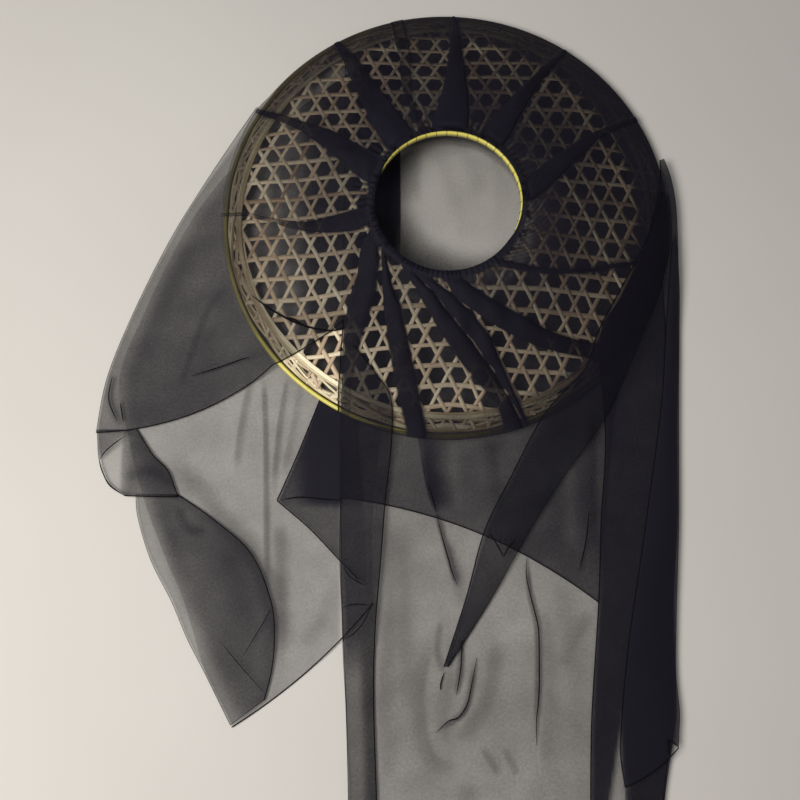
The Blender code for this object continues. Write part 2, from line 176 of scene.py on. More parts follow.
HEADING_WAVE = 0.0004
HEADING_STEPS = 720
HEADING_DRIFT = (1.2, 5)

# A pleat is a fold laid flat in the cover, from the crown hoop to the rim. Its left and right edges
# are in degrees from +X at PLEAT_RADII. crown and rim are how dense each of its three layers is at
# its two ends, and puff is how high it stands, in millimetres.
PLEAT_RADII = (0.075, 0.090, 0.110, 0.135, 0.165, 0.195, 0.217)
Pleat = namedtuple("Pleat", "left right crown rim puff")
PLEATS = (
    Pleat((199.4, 206.6, 219.6, 226.0, 233.5, 239.4, 242.2),
          (210.3, 223.5, 231.8, 235.8, 238.9, 242.1, 244.7), 2.3, 0.5, 1.0),
    Pleat((214.3, 226.7, 236.5, 245.0, 251.7, 256.9, 260.0),
          (219.3, 231.9, 246.0, 253.5, 259.2, 262.6, 264.6), 2.0, 1.8, 1.6),
    Pleat((233.1, 251.1, 261.6, 269.9, 277.7, 283.7, 284.4),
          (243.9, 261.5, 271.3, 279.4, 284.7, 287.5, 288.8), 2.4, 1.0, 2.2),
    Pleat((245.7, 262.5, 272.2, 280.1, 285.3, 288.0, 289.3),
          (255.8, 272.3, 281.8, 287.0, 288.2, 289.2, 289.9), 2.2, 1.8, 1.2),
    Pleat((267.9, 272.8, 283.7, 293.6, 303.3, 312.3, 315.6),
          (279.0, 287.0, 296.4, 303.8, 310.5, 317.6, 319.8), 2.2, 0.7, 2.4),
    Pleat((305.3, 313.2, 321.5, 330.3, 338.9, 345.0, 347.7),
          (310.6, 317.9, 324.5, 332.3, 340.4, 346.3, 348.7), 1.3, 1.2, 1.2),
    Pleat((359.7, 366.8, 374.6, 381.4, 386.3, 387.8, 388.0),
          (375.8, 380.7, 384.5, 387.5, 389.3, 389.6, 389.6), 1.6, 0.5, 2.0),
    Pleat((407.0, 408.8, 411.7, 413.9, 415.1, 415.1, 415.1),
          (424.4, 423.4, 421.9, 420.2, 418.3, 417.1, 416.2), 1.8, 0.55, 2.2),
    Pleat((434.8, 436.7, 439.2, 441.9, 444.3, 445.9, 447.0),
          (461.5, 457.5, 452.3, 450.1, 448.5, 448.1, 447.8), 1.9, 1.5, 2.8),
    Pleat((466.5, 467.0, 467.0, 464.7, 461.7, 461.2, 461.0),
          (468.0, 469.0, 470.0, 468.8, 466.1, 465.0, 464.4), 0.58, 0.36, 0.8),
    Pleat((474.2, 475.4, 476.9, 477.9, 478.0, 478.4, 479.4),
          (496.6, 494.1, 490.8, 487.1, 484.3, 481.8, 480.9), 1.6, 0.9, 2.4),
    Pleat((504.0, 504.4, 504.7, 504.9, 506.3, 507.3, 508.2),
          (526.2, 522.0, 516.5, 512.3, 509.8, 509.5, 509.4), 1.25, 0.9, 2.2),
    Pleat((544.0, 545.0, 546.3, 546.6, 543.3, 539.5, 538.8),
          (556.0, 557.5, 554.7, 550.9, 544.9, 540.5, 539.6), 1.25, 0.46, 1.6),
)
PLEAT_EDGE_DENSITY = 0.45
COVER_TOP_RADII = (0.0704, 0.0712, 0.0722, 0.0734, 0.0748, 0.0762, 0.0776, 0.0790, 0.0808)
COVER_BRIM_RADII = np.linspace(0.0830, 0.2180, 62)
COVER_OUTER = 0.2225
COVER_EDGE_RADII = (0.2200, 0.2208, 0.2216, COVER_OUTER)
COVER_STEPS = 24
COVER_END_STEPS = 40
PLEAT_STEPS = np.array([0.0, 0.015, 0.05, 0.12, 0.25, 0.42, 0.60, 0.78, 0.92, 0.98, 1.0])
PLEAT_LAYER = 0.0005
PLEAT_UNDER = 0.35
PLEAT_BORDER = 0.08
PLEAT_FULL_DEG = 6.0
GATHERS = 88
COVER_DRIFT = (1.5, 7)
GATHER_HEIGHT = 0.0005
GATHER_SHADE = 0.45
# The cloth is denser the nearer it is to the crown, and has its given density at this radius
CROWD_RADIUS = 0.135
CROWD_LEAST_RADIUS = 0.075
CROWD_POWER = 0.8
# Radii between which the cover's parts fade out or rise: over the crown hoop its tuck, its bare
# edge, its height and its density, then its gathers, its pleats and its waves
TUCK_FADE = (0.0704, 0.0722)
BARE_FADE = (0.0704, 0.0790)
HOOD_FADE = (0.0745, 0.0805)
HOOD_SHADE_FADE = (0.0745, 0.0775)
GATHER_FADE = (0.080, 0.108)
PLEAT_RISE = (0.0755, 0.082)
PLEAT_FADE = (0.095, 0.200)
WAVE_RISE = (0.085, 0.12)
WAVE_FADE = (0.195, 0.216)
COVER_WAVES = ((0.0007, 23, 90, 0.0), (0.0005, 41, -60, 0.0))
COVER_SWELL = 0.0012
HOOD_LIFT = 0.0006
HOOD_TUCK = 0.0008
# Between these directions the cover's outermost edge hangs over the rim, in and down by so much
LIP_START_DEG = (335.0, 350.0)
LIP_END_DEG = (497.0, 509.0)
LIP_IN = 0.0012
LIP_DOWN = 0.0078
LIP_SHADE = 1.5
RIM_SHADE_WIDTH = 0.012
# How much cloth is gathered over the brim, by direction
GATHER_DEG = (0, 30, 60, 90, 120, 150, 180, 215, 250, 275, 300, 325, 345)
GATHER_AMOUNT = (2.7, 3.1, 3.1, 2.7, 2.2, 1.8, 1.5, 1.25, 1.15, 1.22, 1.8, 2.3, 2.6)
# How dense the cloth is over the rim, from which radius, and how dense it is where it turns over
# the crown hoop, by direction
RIM_DEG = (0, 30, 60, 90, 120, 150, 180, 205, 215, 243, 270, 300, 330)
RIM_AMOUNT = (5.5, 5.5, 4.6, 4.2, 3.0, 2.4, 1.8, 1.5, 1.4, 0.65, 2.1, 2.6, 5.0)
RIM_START = (0.180, 0.177, 0.178, 0.183, 0.188, 0.192, 0.192, 0.192, 0.192, 0.192, 0.192, 0.190,
             0.185)
HOOD_DEG = (0, 40, 60, 80, 105, 130, 158, 190, 215, 250, 300, 330, 345)
HOOD_AMOUNT = (7.0, 6.0, 3.5, 2.5, 4.0, 6.0, 6.5, 7.0, 9.0, 9.0, 9.0, 8.0, 7.0)
# How far the cloth's edge is tucked into the crown hoop, from 0 to 1, by direction
TUCK_DEG = (0, 138, 158, 174, 186, 198, 325, 345)
TUCK = (0.0, 0.0, 0.9, 0.7, 0.7, 1.0, 1.0, 0.1)
# How far the cloth's edge stays back from the hoop's inner edge where it isn't tucked, and the
# direction in which most of the hoop is bare
BARE_HOOP = 0.0004
BARE_HOOP_SWING = 0.0008
BARE_HOOP_DEG = 65.0
# How far in and how far down a full tuck takes the cloth, at TUCK_RADII
TUCK_RADII = (0.0704, 0.0712, 0.0722, 0.0734)
TUCK_IN = (0.0015, 0.0022, 0.0027, 0.0)
TUCK_DOWN = (0.0040, 0.0014, -0.0003, 0.0)
# Edges of the cover on both sides of the bare notch, in degrees at NOTCH_RADII
NOTCH_RADII = (0.0704, 0.090, 0.110, 0.135, 0.148, 0.165, 0.185, 0.2225)
COVER_START_DEG = (196.5, 205.8, 218.8, 225.2, 228.6, 232.7, 236.8, 242.2)
COVER_END_DEG = (556.4, 565.7, 578.7, 585.1, 588.5, 587.6, 585.6, 581.8)
NOTCH_POINT = 0.148

# A section crosses one layer of the veil from its left edge to its right one, in millimetres. Its
# middle is bowed towards the hem by bow, which is 0 where it is left out. The sections of a layer
# run from the hat to its hem.
Section = namedtuple("Section", "left_x left_y right_x right_y bow", defaults=(0,))
SECTIONS = {
    "veil_back_panel": (
        (-101, 189, 150, 159, -40), (-101, 95, 204, 60, -8), (-101, 0, 212, 0),
        (-101, -150, 213, -150), (-101, -281, 211, -281), (-98, -400, 204, -400),
        (-94, -470, 201, -470), (-91, -547, 189.5, -547), (-90, -600, 186, -600, 3),
    ),
    "veil_left_panel": (
        (-172, 98, -45, 188, -8), (-211, 60, -45, 120, -6), (-241, 20, -45, 45),
        (-267, -28, -45, -30), (-296, -97, -49, -120), (-316, -160, -60, -200),
        (-305, -216, -69, -262), (-288, -274, -71, -305), (-263, -334, -71, -335),
        (-245, -372, -71, -352), (-222, -438, -70, -364, 4), (-197, -484, -70, -374, 7),
    ),
    "veil_left_wing": (
        (-190, 118.5, -187.6, 119.5), (-219.5, 71, -211.5, 69), (-249.5, 23, -221.9, 16),
        (-275, -26, -219.9, -34), (-305, -95, -209, -76, 2), (-327, -160, -192, -112.5, 6),
        (-334.5, -214, -165.9, -148.3, 16),
    ),
    "veil_wing_curl": (
        (-334, -211, -296, -211), (-333, -220, -290, -220), (-331, -236, -279, -236),
        (-327, -250, -265, -250), (-319, -265, -258, -265), (-304, -274.5, -254, -275.5, 1),
    ),
    "veil_left_flap": (
        (-294, -272.5, -255, -273), (-290.5, -296, -221, -296), (-277, -334, -184, -328),
        (-256, -372, -164, -372), (-240, -406, -160, -405), (-222, -438, -162, -434),
        (-198, -482, -168, -460),
    ),
    "veil_corner_fold": (
        (-120, -177, -84, -192), (-140, -230, -84, -232), (-157, -271, -80, -272),
        (-160, -278.5, -80, -278.5), (-156, -283, -80, -283), (-129, -306, -78, -310),
        (-101, -335, -77, -338), (-84, -352, -76, -357),
    ),
    "veil_side_strip": (
        (-96, -130, -90, -134), (-99, -160, -68, -162), (-101, -193, -54, -184),
        (-101, -226, -53, -222), (-101, -281, -59, -281), (-101, -335, -63, -335),
        (-97, -405, -68, -400), (-94, -460, -69, -460), (-91, -547, -66, -547),
        (-90, -600, -65, -600),
    ),
    "veil_front_panel": (
        (-104, -196.7, 167, -147, 42), (-104, -222, 162, -184, 32), (-103, -250, 152, -250, 12),
        (-103, -276, 138, -373, -18),
    ),
    "veil_spike_fold": (
        (213, 24, 220, 22), (203, -8, 221, -14), (187, -42, 216, -44), (163, -84, 204, -84),
        (143, -121, 190, -116), (131, -155, 172, -156), (92, -198, 147, -205),
        (59, -258, 105, -262), (34, -307, 73, -312), (16, -369, 38, -372), (-5, -431, -1, -431),
    ),
    "veil_right_inner_fall": (
        (214, 60, 218, 62), (213, 40, 224, 42), (205, 4, 227.5, 14), (191, -39, 227.5, -24),
        (168, -84, 226, -82), (146, -125, 223.5, -140), (150, -200, 219, -200),
        (149, -240, 217, -240), (143, -297, 214, -300), (138, -371, 207, -371),
        (129, -460, 204.5, -460), (126, -500, 201, -488), (124, -547, 189.5, -547),
        (122, -600, 186, -600),
    ),
    "veil_right_outer_fall": (
        (221, -28, 225, -18), (215, -80, 226.5, -82), (205, -182, 221, -182),
        (185, -297, 215, -297), (167, -389, 208, -389), (159, -440, 205, -436),
        (154, -480, 206.5, -470), (152, -508, 205, -488), (155, -535, 203.9, -501.3, 3),
    ),
}

# A crease stands up in every layer from its level upwards, along points in millimetres. left and
# right are how wide its sides are and height how high it stands, also in millimetres. cloth is how
# much denser it makes the cloth there: more cloth gathered in the crease, with painted shade on its
# slopes. Where cloth is negative it is painted light.
Crease = namedtuple("Crease", "level points left right height cloth")
CREASES = [Crease(*row) for row in (
    (1, ((-32, -202), (-25, -231), (-19, -264), (-11, -293)), 1.2, 13, 3.5, 2.4),
    (1, ((36, -218), (42, -250), (46, -293)), 7, 7, 1.8, 0.6),
    (1, ((2, -220), (6, -254), (10, -292)), 5, 5, -0.5, -0.35),
    (1, ((137, -190), (133, -259), (134, -334)), 10, 6, 2.5, 0.8),
    (1, ((112, -240), (116, -280), (112, -330)), 8, 7, -0.5, -0.5),
    (0, ((-13, -288), (-5, -316), (2, -342), (8, -362)), 1.0, 4.0, 2.5, 0.6),
    (0, ((-2, -316), (7, -348), (12, -380)), 5, 6, 1.5, 0.35),
    (0, ((73, -328), (75, -366), (81, -396), (80, -452), (76, -502)), 2.2, 1.2, 3.5, 0.55),
    (0, ((87, -371), (89, -452), (83, -530)), 4, 8, 1.5, 0.20),
    (0, ((11, -404), (10, -432), (5, -458)), 2.2, 1.2, 3.0, 0.6),
    (0, ((25, -421), (16, -463), (7, -476), (-12, -488)), 2.4, 1.2, 3.0, 0.6),
    (0, ((-16, -398), (-27, -452), (-23, -495), (-13, -514), (11, -518)), 8, 4, 2.2, 0.34),
    (0, ((44, -404), (32, -460), (4, -500)), 5, 8, 2.2, 0.36),
    (0, ((2, -430), (-6, -470), (-4, -500)), 6, 7, 1.2, 0.25),
    (0, ((132, -382), (113, -407), (103, -432)), 6, 5, 1.8, 0.3),
    (0, ((28, -502), (43, -526)), 1.8, 3.5, 1.2, 0.4),
    (0, ((48, -502), (59, -526)), 1.8, 3.5, 1.2, 0.35),
    (0, ((-8, -389), (-12, -416), (-5, -438)), 2.0, 3.0, 1.5, 0.45),
    (0, ((-56, -283), (-55, -371), (-60, -460), (-56, -547)), 5, 10, 1.5, 0.26),
    (0, ((-43, -297), (-42, -389), (-39, -478)), 5, 8, 1.5, 0.2),
    (0, ((18, -530), (10, -563), (8, -589)), 8, 9, 1.5, 0.25),
    (0, ((100, -350), (116, -440), (118, -560)), 9, 14, 1.2, 0.22),
    (0, ((8, 96), (26, 62), (34, 24)), 9, 12, 1.0, 0.14),
    (0, ((-10, 80), (6, 30), (22, -24)), 6, 12, 1.0, 0.12),
    (0, ((40, 92), (54, 50), (52, -5)), 5, 12, 1.0, 0.12),
    (0, ((-178, -155), (-174, -211), (-171, -297), (-169, -364)), 1.4, 2.6, 2.2, 0.6),
    (0, ((-154, -156), (-161, -211), (-166, -278)), 1.4, 3.2, 2.0, 0.5),
    (0, ((-190, -160), (-198, -211), (-201, -250)), 1.6, 4.0, 2.0, 0.45),
    (0, ((-141, -164), (-148, -211), (-157, -259)), 2.0, 4.0, 1.2, 0.3),
    # This crease under the flap is a painted shadow: its cloth darkens the panels beneath along the
    # flap's right edge, where the flap's shadow falls
    (0, ((-269, -235), (-229, -276), (-187, -325), (-161, -371), (-154, -425)),
     12, 10, 2.0, 0.6),
    (0, ((-160, -300), (-156, -350), (-158, -440)), 5, 7, 1.6, 0.45),
    (0, ((-110, -357), (-117, -389), (-137, -416)), 6, 8, 1.2, 0.2),
    (1.5, ((-250, -160), (-224, -152), (-200, -143), (-172, -136)), 3.0, 7.0, 0.9, 0.3),
    (1.7, ((-306, -262), (-290, -254), (-274, -256), (-256, -270)), 4.0, 6.0, 0.5, 0.7),
    (1.5, ((-213, -66), (-234, -94), (-245, -127), (-261, -180)), 2.5, 3, 0.8, 0.5),
    (1.5, ((-322, -155), (-324, -182), (-313, -209)), 3.0, 5.0, 0.8, 0.7),
    (1.5, ((-232, 20), (-262, -40), (-285, -110)), 8, 8, 1.5, 0.2),
    (1.6, ((-226, -300), (-200, -350), (-190, -410), (-188, -455)), 16, 12, 1.5, 0.35),
    (1.6, ((-253, -284), (-251, -298), (-240, -309), (-224, -306)), 3.0, 5.0, 1.0, 0.7),
    (1.6, ((-262, -300), (-254, -340), (-236, -390)), 6, 6, 1.0, 0.35),
)]
CREASE_STEPS = 16
CREASE_START = 0.20
CREASE_END = 0.25

# Sharp folds and edges of cloth that lie on a layer, along points in millimetres
LINES = {
    "veil_back_panel": (
        ((-11, -291), (-5, -316), (0, -334), (3, -345), (8, -358)),
        ((73, -332), (72, -348), (75, -366), (81, -392), (82, -405), (81, -452), (78, -478),
         (78, -500)),
        ((12, -408), (11, -420), (10, -434), (6, -456)),
        ((25, -423), (20, -446), (16, -463), (8, -475), (-2, -479), (-13, -489)),
        ((-5, -436), (-8, -446), (-8, -452)),
    ),
    "veil_front_panel": (
        ((-19, -262), (-15, -276), (-11, -290)),
        ((132, -288), (128, -318), (121, -345)),
    ),
    "veil_left_wing": (
        ((-246, -159), (-224, -152), (-202, -144), (-190, -141)),
        ((-322, -160), (-324, -182), (-315, -203)),
        ((-313, -185), (-309, -204)),
    ),
    "veil_wing_curl": (
        ((-329, -240), (-324, -233), (-317, -227), (-305, -218)),
        ((-330.5, -238), (-327, -250), (-319, -264), (-305, -274)),
    ),
    "veil_left_flap": (
        ((-164, -379), (-172, -394), (-189, -423)),
        ((-209, -409), (-191, -429), (-168, -454)),
    ),
    "veil_side_strip": (
        ((-98, -378), (-87, -375), (-74, -376)),
        ((-98, -341), (-90, -351), (-77, -358)),
        ((-97, -407), (-86, -400), (-76, -387), (-70, -371)),
    ),
    "veil_corner_fold": (
        ((-158, -279), (-139, -276), (-116, -278), (-100, -279)),
    ),
    "veil_spike_fold": (
        ((38, -309), (45, -321), (51, -332)),
        ((51, -332), (55, -324), (62, -316)),
    ),
    "veil_right_outer_fall": (
        ((193.6, -492.9), (198, -496), (204, -500)),
        ((194.3, -493), (194.6, -501), (195.5, -508)),
    ),
    "veil_brim_cover": (
        ((-188, -82), (-172, -95), (-155, -106), (-136, -115), (-111, -121), (-96, -118)),
        ((-155, -106), (-147, -108), (-136, -115)),
    ),
}
LINE_LIFT = 0.0003
LINE_STEPS = 8
# The single corner of the outer fall, and the slit between the two falls
CORNER_LEFT = 0.1940
CORNER_TOP = -0.4929
CORNER_LEAN = 0.80
CORNER_EDGE = 0.001
FALL_SLIT_X = 0.155
FALL_SLIT_TOP = -0.462
FALL_SLIT_LEAN = 0.2
FALL_SLIT_EDGE = 0.002
FALL_SLIT_END = 0.004


def smooth(value):
    """Ease from 0 to 1 as value goes from 0 to 1."""
    value = np.clip(value, 0.0, 1.0)
    return value * value * (3.0 - 2.0 * value)


def ramp(value, start, end):
    """Ease from 0 at start to 1 at end."""
    return smooth((value - start) / (end - start))


def brim_height(radius):
    """Top of the brim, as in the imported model."""
    along = np.clip((radius - WEAVE_INNER) / (RIM_RADIUS - WEAVE_INNER), 0.0, 1.0)
    cone = RIM_TOP + (CROWN_EDGE_HEIGHT - RIM_TOP) * (1.0 - along)
    return cone + BRIM_BULGE * 4.0 * along * (1.0 - along)


def rest_height(x, y):
    """What cloth lying over the hat rests on: the brim, the fall past the rim, the floor."""
    radius = np.hypot(x, y)
    fall = (RIM_TOP + SKIN_GAP) * (1.0 - smooth((radius - RIM_RADIUS) / DROP_WIDTH))
    return np.where(radius <= RIM_RADIUS, brim_height(radius) + SKIN_GAP, fall)


def off_hat(x, y):
    """0 over the hat and 1 on the floor beside it."""
    return ramp(np.hypot(x, y), RIM_RADIUS, RIM_RADIUS + DROP_WIDTH)


def spline(rows, position):
    """Catmull-Rom values of a table of rows at positions from 0 to 1."""
    rows = np.asarray(rows, float)
    last = len(rows) - 1
    place = np.clip(np.asarray(position, float) * last, 0.0, last - 1e-9)
    first = place.astype(int)
    part = (place - first)[:, None]
    before = rows[np.maximum(first - 1, 0)]
    start = rows[first]
    end = rows[first + 1]
    after = rows[np.minimum(first + 2, last)]
    return 0.5 * (2 * start + (end - before) * part
                  + (2 * before - 5 * start + 4 * end - after) * part ** 2
                  + (3 * start - 3 * end + after - before) * part ** 3)


def layer_plan(sections, across, along):
    """Places on the floor plan of a layer, as two grids with a row for each value of along."""
    rows = spline([Section(*row) for row in sections], along) * MM
    left = rows[:, None, 0:2]
    side = rows[:, None, 2:4] - left
    down = np.stack([side[..., 1], -side[..., 0]], -1)
    down = down / np.linalg.norm(down, axis=-1, keepdims=True)
    share = np.asarray(across)[None, :, None]
    place = left + side * share + down * rows[:, None, 4:5] * 4.0 * share * (1.0 - share)
    return place[..., 0], place[..., 1]


def crease_shape(x, y, level):
    """Rise of the creases that lift a layer at this level, and the cloth they gather in it, which is
    partly painted shade.
    """
    rise = np.zeros_like(x)
    extra = np.zeros_like(x)
    for crease in CREASES:
        if crease.level > level:
            continue
        line = spline(crease.points, np.linspace(0.0, 1.0, CREASE_STEPS + 1)) * MM
        nearest = np.full(x.shape, np.inf)
        offset = np.zeros_like(x)
        along = np.zeros_like(x)
        for step in range(CREASE_STEPS):
            start = line[step]
            run = line[step + 1] - start
            share = np.clip(((x - start[0]) * run[0] + (y - start[1]) * run[1]) / (run @ run), 0, 1)
            gap_x = x - start[0] - share * run[0]
            gap_y = y - start[1] - share * run[1]
            distance = np.hypot(gap_x, gap_y)
            closer = distance < nearest
            nearest = np.where(closer, distance, nearest)
            offset = np.where(closer, gap_x * run[1] - gap_y * run[0], offset)
            along = np.where(closer, (step + share) / CREASE_STEPS, along)
        width = np.where(offset > 0, crease.left, crease.right) * MM
        fade = ramp(along, 0.0, CREASE_START) * ramp(1.0 - along, 0.0, CREASE_END)
        shape = np.exp(-(nearest / width) ** 2) * fade
        rise += crease.height * MM * shape
        if crease.level == level:
            extra += crease.cloth * shape
    return rise, extra


def waves(table, u, v):
    """Sum of sine waves. Each row is a wave's height, its turns along u and v, and its phase."""
    return sum(height * np.sin(by_u * u + by_v * v + phase) for height, by_u, by_v, phase in table)


def gathers(turn, drift, times):
    """Even gathers round the crown that drift to and fro so many times."""
    return np.cos(GATHERS * turn + drift * np.sin(times * turn))


def swell(x, y):
    """Slight uneven lift of cloth laid on the floor."""
    return SWELL * (1.0 + waves(SWELL_WAVES, x, y) / sum(row[0] for row in SWELL_WAVES))


def clear_start():
    """Remove the lights, the camera and the cube that a new file has."""
    for item in list(bpy.data.objects):
        if item.type in {"LIGHT", "CAMERA"} or item.name == "Cube":
            bpy.data.objects.remove(item, do_unlink=True)


class Value:
    """A node's output. Python's operators on it add Math nodes."""

    def __init__(self, graph, socket):
        self.graph = graph
        self.socket = socket

    def maths(self, operation, *others):
        return self.graph.maths(operation, self, *others)

    def __add__(self, other):
        return self.maths("ADD", other)

    def __sub__(self, other):
        return self.maths("SUBTRACT", other)

    def __mul__(self, other):
        return self.maths("MULTIPLY", other)

    def __truediv__(self, other):
        return self.maths("DIVIDE", other)

    def __rsub__(self, other):
        return self.graph.maths("SUBTRACT", other, self)

    def __rpow__(self, other):
        return self.graph.maths("POWER", other, self)

    __radd__ = __add__

    def clamp(self, low, high):
        return self.maths("MAXIMUM", low).maths("MINIMUM", high)


class Outputs:
    """The outputs of one node, by name or by number."""

    def __init__(self, graph, made):
        self.graph = graph
        self.made = made

    def __getitem__(self, key):
        return Value(self.graph, self.made.outputs[key])


class Graph:
    """A node tree that is filled by calls."""

    def __init__(self, tree):
        self.tree = tree
        tree.nodes.clear()

    def node(self, kind, settings=None, values=None):
        made = self.tree.nodes.new(kind)
        for name, setting in (settings or {}).items():
            setattr(made, name, setting)
        for name, value in (values or {}).items():
            if isinstance(value, Value):
                self.tree.links.new(value.socket, made.inputs[name])
            else:
                made.inputs[name].default_value = value
        return Outputs(self, made)

    def maths(self, operation, *values):
        return self.node("ShaderNodeMath", {"operation": operation}, dict(enumerate(values)))[0]

    def vector(self, x=0.0, y=0.0, z=0.0):
        """One vector from three values."""
        return self.node("ShaderNodeCombineXYZ", None, {"X": x, "Y": y, "Z": z})[0]

    def noise(self, place, scale, detail, output="Fac", dimensions="3D", **more):
        values = {"Vector": place, "Scale": scale, "Detail": detail, **more}
        return self.node("ShaderNodeTexNoise", {"noise_dimensions": dimensions}, values)[output]


class MaterialGraph(Graph):
    """A material's node tree."""

    def __init__(self, name):
        self.material = bpy.data.materials.new(name)
        self.material.use_nodes = True
        super().__init__(self.material.node_tree)

    def attribute(self, name, output="Fac"):
        return self.node("ShaderNodeAttribute", {"attribute_name": name})[output]

    def fibres(self, place, factors, detail):
        """Noise that is drawn out by its factors along each axis."""
        drawn = self.node("ShaderNodeVectorMath", {"operation": "MULTIPLY"}, {0: place, 1: factors})
        return self.noise(drawn[0], 1.0, detail)

    def object_noise(self, scale, detail):
        return self.noise(self.node("ShaderNodeTexCoord")["Object"], scale, detail)

    def bump(self, strength, distance, height):
        values = {"Strength": strength, "Distance": distance, "Height": height}
        return self.node("ShaderNodeBump", None, values)["Normal"]

    def colours(self, places, colours, share):
        """A colour from a share of 0 to 1, by colours at places along it."""
        blend = self.node("ShaderNodeValToRGB", None, {"Fac": share})
        elements = blend.made.color_ramp.elements
        while len(elements) < len(colours):
            elements.new(0.5)
        for element, place, colour in zip(elements, places, colours):
            element.position = place
            element.color = (*colour, 1.0)
        return blend["Color"]

    def finish(self, values):
        """Close the tree with a Principled shader."""
        shader = self.node("ShaderNodeBsdfPrincipled", None, values)
        self.node("ShaderNodeOutputMaterial", None, {"Surface": shader["BSDF"]})
        return self.material


def bamboo_material(name, colours, roughness, coat):
    """Split bamboo: long fibres and blotches along the strip, and a tint of its own for each."""
    graph = MaterialGraph(name)
    place = graph.attribute("strip_place", "Vector")
    fibre = graph.fibres(place, FIBRE_FACTORS, 4.0)
    blotch = graph.fibres(place, BLOTCH_FACTORS, 3.0)
    mix = (fibre * 0.55 + blotch * 0.55 + graph.attribute("tint") * 0.7 - 0.40).clamp(0.0, 1.0)
    return graph.finish({"Base Color": graph.colours((0.0, 0.45, 1.0), colours, mix),
                         "Roughness": roughness + fibre * 0.18,
                         "Normal": graph.bump(0.5, 0.00012, fibre), "Coat Weight": coat})


def organza_material(name, cover):
    """Sheer black cloth. cover is how much one layer hides, and gather says how much cloth stands
    on each bit of its plan, with painted light and shade added under the hat, in the crown hole and
    along the creases."""
    graph = MaterialGraph(name)
    weave = graph.node("ShaderNodeUVMap", {"uv_map": "cloth"})["UV"]
    grain = graph.noise(weave, 420.0, 3.0, dimensions="2D", Roughness=0.8)
    patch = graph.noise(weave, 34.0, 3.0, dimensions="2D")
    broad = graph.noise(weave, 11.0, 1.0, dimensions="2D")
    density = graph.attribute("gather") * (grain * 0.95 + patch * 0.40 + broad * 0.45 + 0.10)
    return graph.finish({"Base Color": (*CLOTH_AND_SHEEN_COLOUR, 1.0), "Roughness": 0.70,
                         "Alpha": 1.0 - (1.0 - cover) ** density,
                         "Normal": graph.bump(0.25, 0.0001, grain),
                         "Sheen Weight": 0.05, "Sheen Roughness": 0.4,
                         "Sheen Tint": (*SHEEN_COLOUR, 1.0), "Specular IOR Level": 0.12})


def thread_material(name, colour, alpha):
    """Rolled hem or sewing thread."""
    graph = MaterialGraph(name)
    twist = graph.object_noise(1400.0, 2.0)
    return graph.finish({"Base Color": (*colour, 1.0), "Roughness": 0.7 + twist * 0.2,
                         "Alpha": alpha, "Normal": graph.bump(0.4, 0.0002, twist),
                         "Specular IOR Level": 0.1})


def floor_material():
    """Plain pale matt floor."""
    graph = MaterialGraph("floor_matt")
    mottle = graph.object_noise(3.0, 3.0)
    return graph.finish({"Base Color": graph.colours((0.3, 0.7), FLOOR_COLOURS, mottle),
                         "Roughness": 0.85})


def add_object(name, mesh, material):
    mesh.materials.clear()
    mesh.materials.append(material)
    item = bpy.data.objects.new(name, mesh)
    bpy.context.scene.collection.objects.link(item)
    return item


def smooth_mesh(name, points, faces):
    mesh = bpy.data.meshes.new(name)
    mesh.from_pydata(points, [], faces)
    mesh.polygons.foreach_set("use_smooth", np.ones(len(mesh.polygons), bool))
    return mesh


def grid_mesh(name, x, y, z, gather=None, closed=False):
    """A mesh from three grids of the same shape, with its cloth UV in metres."""
    rows, columns = x.shape
    points = np.stack([x, y, z], -1)
    index = np.arange(rows * columns).reshape(rows, columns)
    if closed:
        index = np.concatenate([index, index[:, :1]], axis=1)
    faces = np.stack([index[:-1, :-1], index[1:, :-1], index[1:, 1:], index[:-1, 1:]], -1)
    mesh = smooth_mesh(name, points.reshape(-1, 3).tolist(), faces.reshape(-1, 4).tolist())
    across = np.zeros((rows, columns))
    along = np.zeros((rows, columns))
    across[:, 1:] = np.cumsum(np.linalg.norm(np.diff(points, axis=1), axis=-1), axis=1)
    along[1:, :] = np.cumsum(np.linalg.norm(np.diff(points, axis=0), axis=-1), axis=0)
    flat = np.stack([across, along], -1).reshape(-1, 2)
    corner = np.zeros(len(mesh.loops), int)
    mesh.loops.foreach_get("vertex_index", corner)
    layer = mesh.uv_layers.new(name="cloth")
    layer.data.foreach_set("uv", flat[corner].ravel())
    if gather is None:
        gather = steepness(x, y, z)
    attribute = mesh.attributes.new("gather", "FLOAT", "POINT")
    attribute.data.foreach_set("value", gather.ravel())
    mesh.update()
    return mesh


def steepness(x, y, z):
    """How many times more cloth stands on a bit of plan than if it lay flat."""
    points = np.stack([x, y, z], -1)
    normal = np.cross(np.gradient(points, axis=1), np.gradient(points, axis=0))
    upright = np.abs(normal[..., 2]) / np.maximum(np.linalg.norm(normal, axis=-1), 1e-12)
    return np.clip(1.0 / np.maximum(upright, 1e-3), 1.0, STEEPEST)


